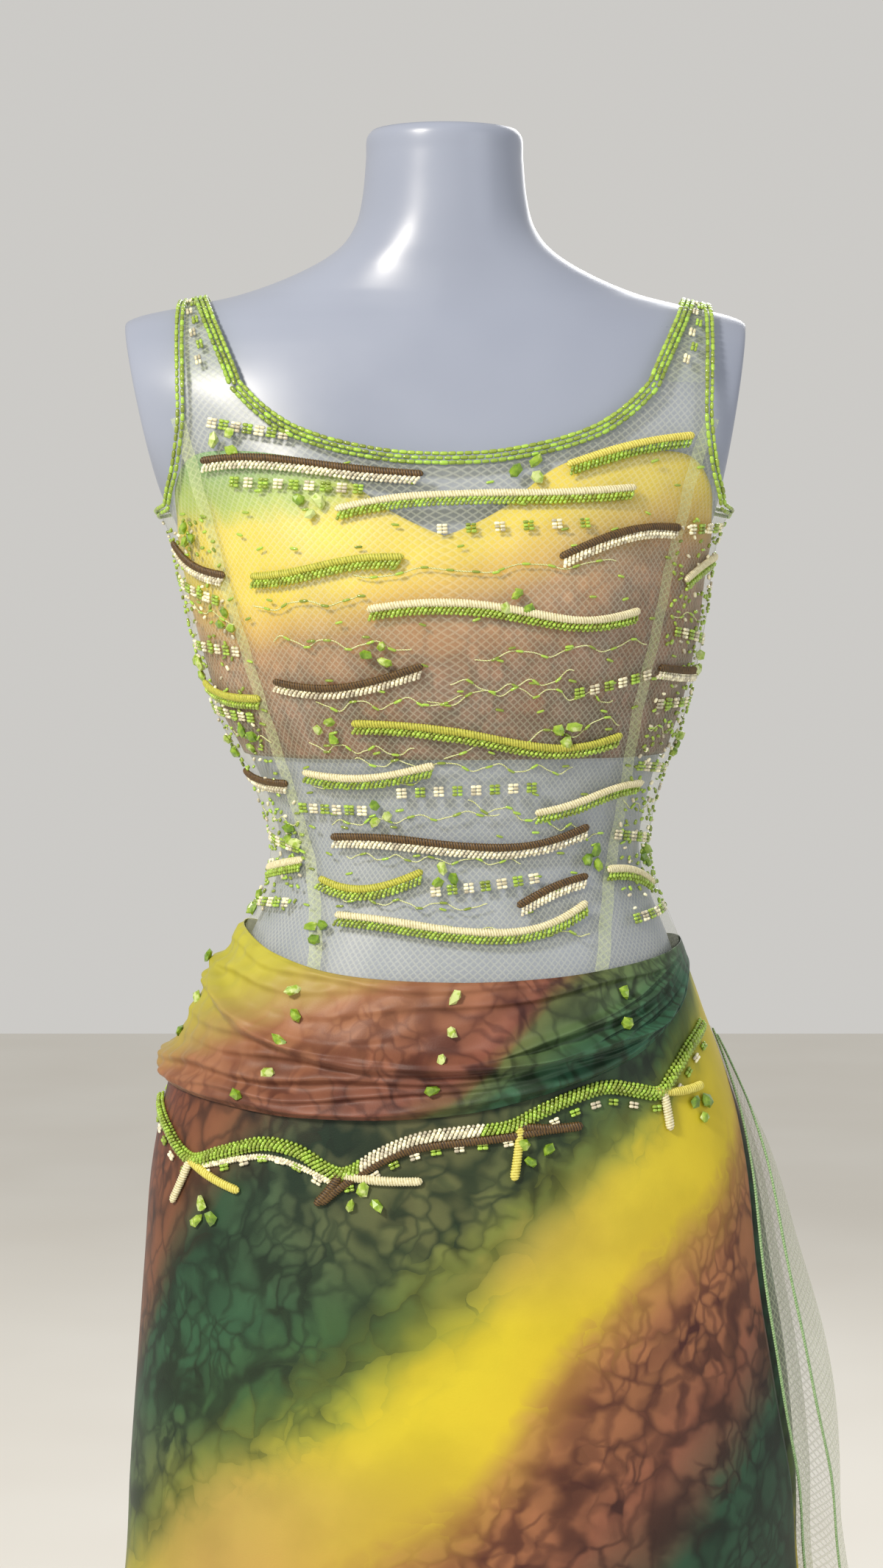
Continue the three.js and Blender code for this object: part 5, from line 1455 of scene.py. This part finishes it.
def seam_tapes():
    """Seam allowances showing through the net: narrow double bands of it down each princess seam and side
    seam, with slightly uneven edges."""
    lines = []
    for side in (-1, 1):
        for facing in (-1, 1):
            lines.append(princess_edge(side, facing, SEAM_START)(np.linspace(0, 1, 90)))
        z = np.linspace(waist_seam(side_seam(side, -1)) + 2, UNDERARM - 6, 80)
        lines.append((np.full_like(z, side_seam(side, -1)), z))
    lots, uvs = [], []
    offset = np.linspace(-4.6, 4.6, 7)
    for t, z in lines:
        path = path_on(body, t, z, ON_NET + 0.35)
        uneven = 1 + 0.09 * np.sin(z / 4.3)[:, None] * np.sign(offset)
        points = path["point"][:, None, :] + path["across"][:, None, :] * (offset * uneven)[..., None]
        lots.append((points.reshape(-1, 3), grid_faces(len(z), len(offset))[:, ::-1]))
        uvs.append(np.stack(np.broadcast_arrays(offset * MM, z[:, None] * MM), axis=-1).reshape(-1, 2))
    join_pieces("seam_tapes", lots, TAPE_NET, "bodice_net", uv=np.concatenate(uvs))


def net_edges():
    """Overlocked edges of the two net panels: a close green thread wrapped over both sides and the foot."""
    lots = []
    for points in hanging:
        normal = unit(np.cross(unit(np.gradient(points, axis=1)), unit(np.gradient(points, axis=0))))
        for edge in (np.s_[:, 0], np.s_[:, -1], np.s_[0, :]):
            path = path_from(points[edge], points[edge] + normal[edge] * 2)
            lots.append(cord(path, 0.0, 0.0, 2.8, 1.5, sides=6))
    join_pieces("overlocked_net_edges", lots, OVERLOCK, "skirt_net")


edge_piece("neck_beads", "neck_edge", neck_line, 8, 3)
edge_piece("arm_beads_left", "arm_edge_left", lambda lift: arm_line(-1, lift), 5.5, 2)
edge_piece("arm_beads_right", "arm_edge_right", lambda lift: arm_line(1, lift), 5.5, 2)
make_embroidery()
make_chips()
seam_tapes()
net_edges()


# ---- Camera, floor and light

CAMERA_AT = (-0.0019, -1.9, 1.223)
AIM_HEIGHT = 1.090
LENS_MM, SENSOR_MM = 68.3, 36
FLOOR_REACH = 6.0


def make_camera():
    """Stands 1.9 m in front of the dress at chest height and looks a little down, as the photograph does."""
    lens = bpy.data.cameras.new("camera")
    lens.sensor_width = SENSOR_MM
    lens.lens = LENS_MM
    camera = bpy.data.objects.new("camera", lens)
    camera.location = CAMERA_AT
    camera.rotation_euler = (math.atan2(-CAMERA_AT[1], CAMERA_AT[2] - AIM_HEIGHT), 0, 0)
    bpy.context.scene.collection.objects.link(camera)
    bpy.context.scene.camera = camera


def make_floor():
    """A square floor that reaches FLOOR_REACH each way."""
    corners = [(x * FLOOR_REACH, y * FLOOR_REACH, 0) for x, y in ((-1, -1), (1, -1), (1, 1), (-1, 1))]
    mesh = bpy.data.meshes.new("floor")
    mesh.from_pydata(corners, [], [(0, 1, 2, 3)])
    mesh.materials.append(material("pale_floor", matt_floor))
    floor = bpy.data.objects.new("floor", mesh)
    bpy.context.scene.collection.objects.link(floor)


def soft_light(name, place, aim, size, power, colour):
    lamp = bpy.data.lights.new(name, "AREA")
    lamp.shape = "DISK"
    lamp.size = size
    lamp.energy = power
    lamp.color = linear(colour)[:3]
    light = bpy.data.objects.new(name, lamp)
    light.location = place
    x, y, z = (a - p for a, p in zip(aim, place))
    light.rotation_euler = (math.atan2(math.hypot(x, y), -z), 0, math.atan2(-x, y))
    bpy.context.scene.collection.objects.link(light)


def make_light():
    world = bpy.data.worlds.new("studio")
    world.use_nodes = True
    back = world.node_tree.nodes["Background"]
    back.inputs["Color"].default_value = linear("#ECEAE6")
    back.inputs["Strength"].default_value = 0.72
    bpy.context.scene.world = world
    # Colours come out as they are named, with no film-like greying
    bpy.context.scene.view_settings.view_transform = "Standard"
    soft_light("key", (-1.7, -2.2, 2.9), (0, 0, 1.1), 0.6, 102, "#FFF8EC")
    soft_light("fill", (2.2, -1.8, 1.7), (0, 0, 1.0), 1.8, 12, "#EEF3FF")
    soft_light("back", (0.6, 2.6, 2.4), (0, 0, 1.1), 1.5, 26, "#FFFFFF")


make_camera()
make_floor()
make_light()
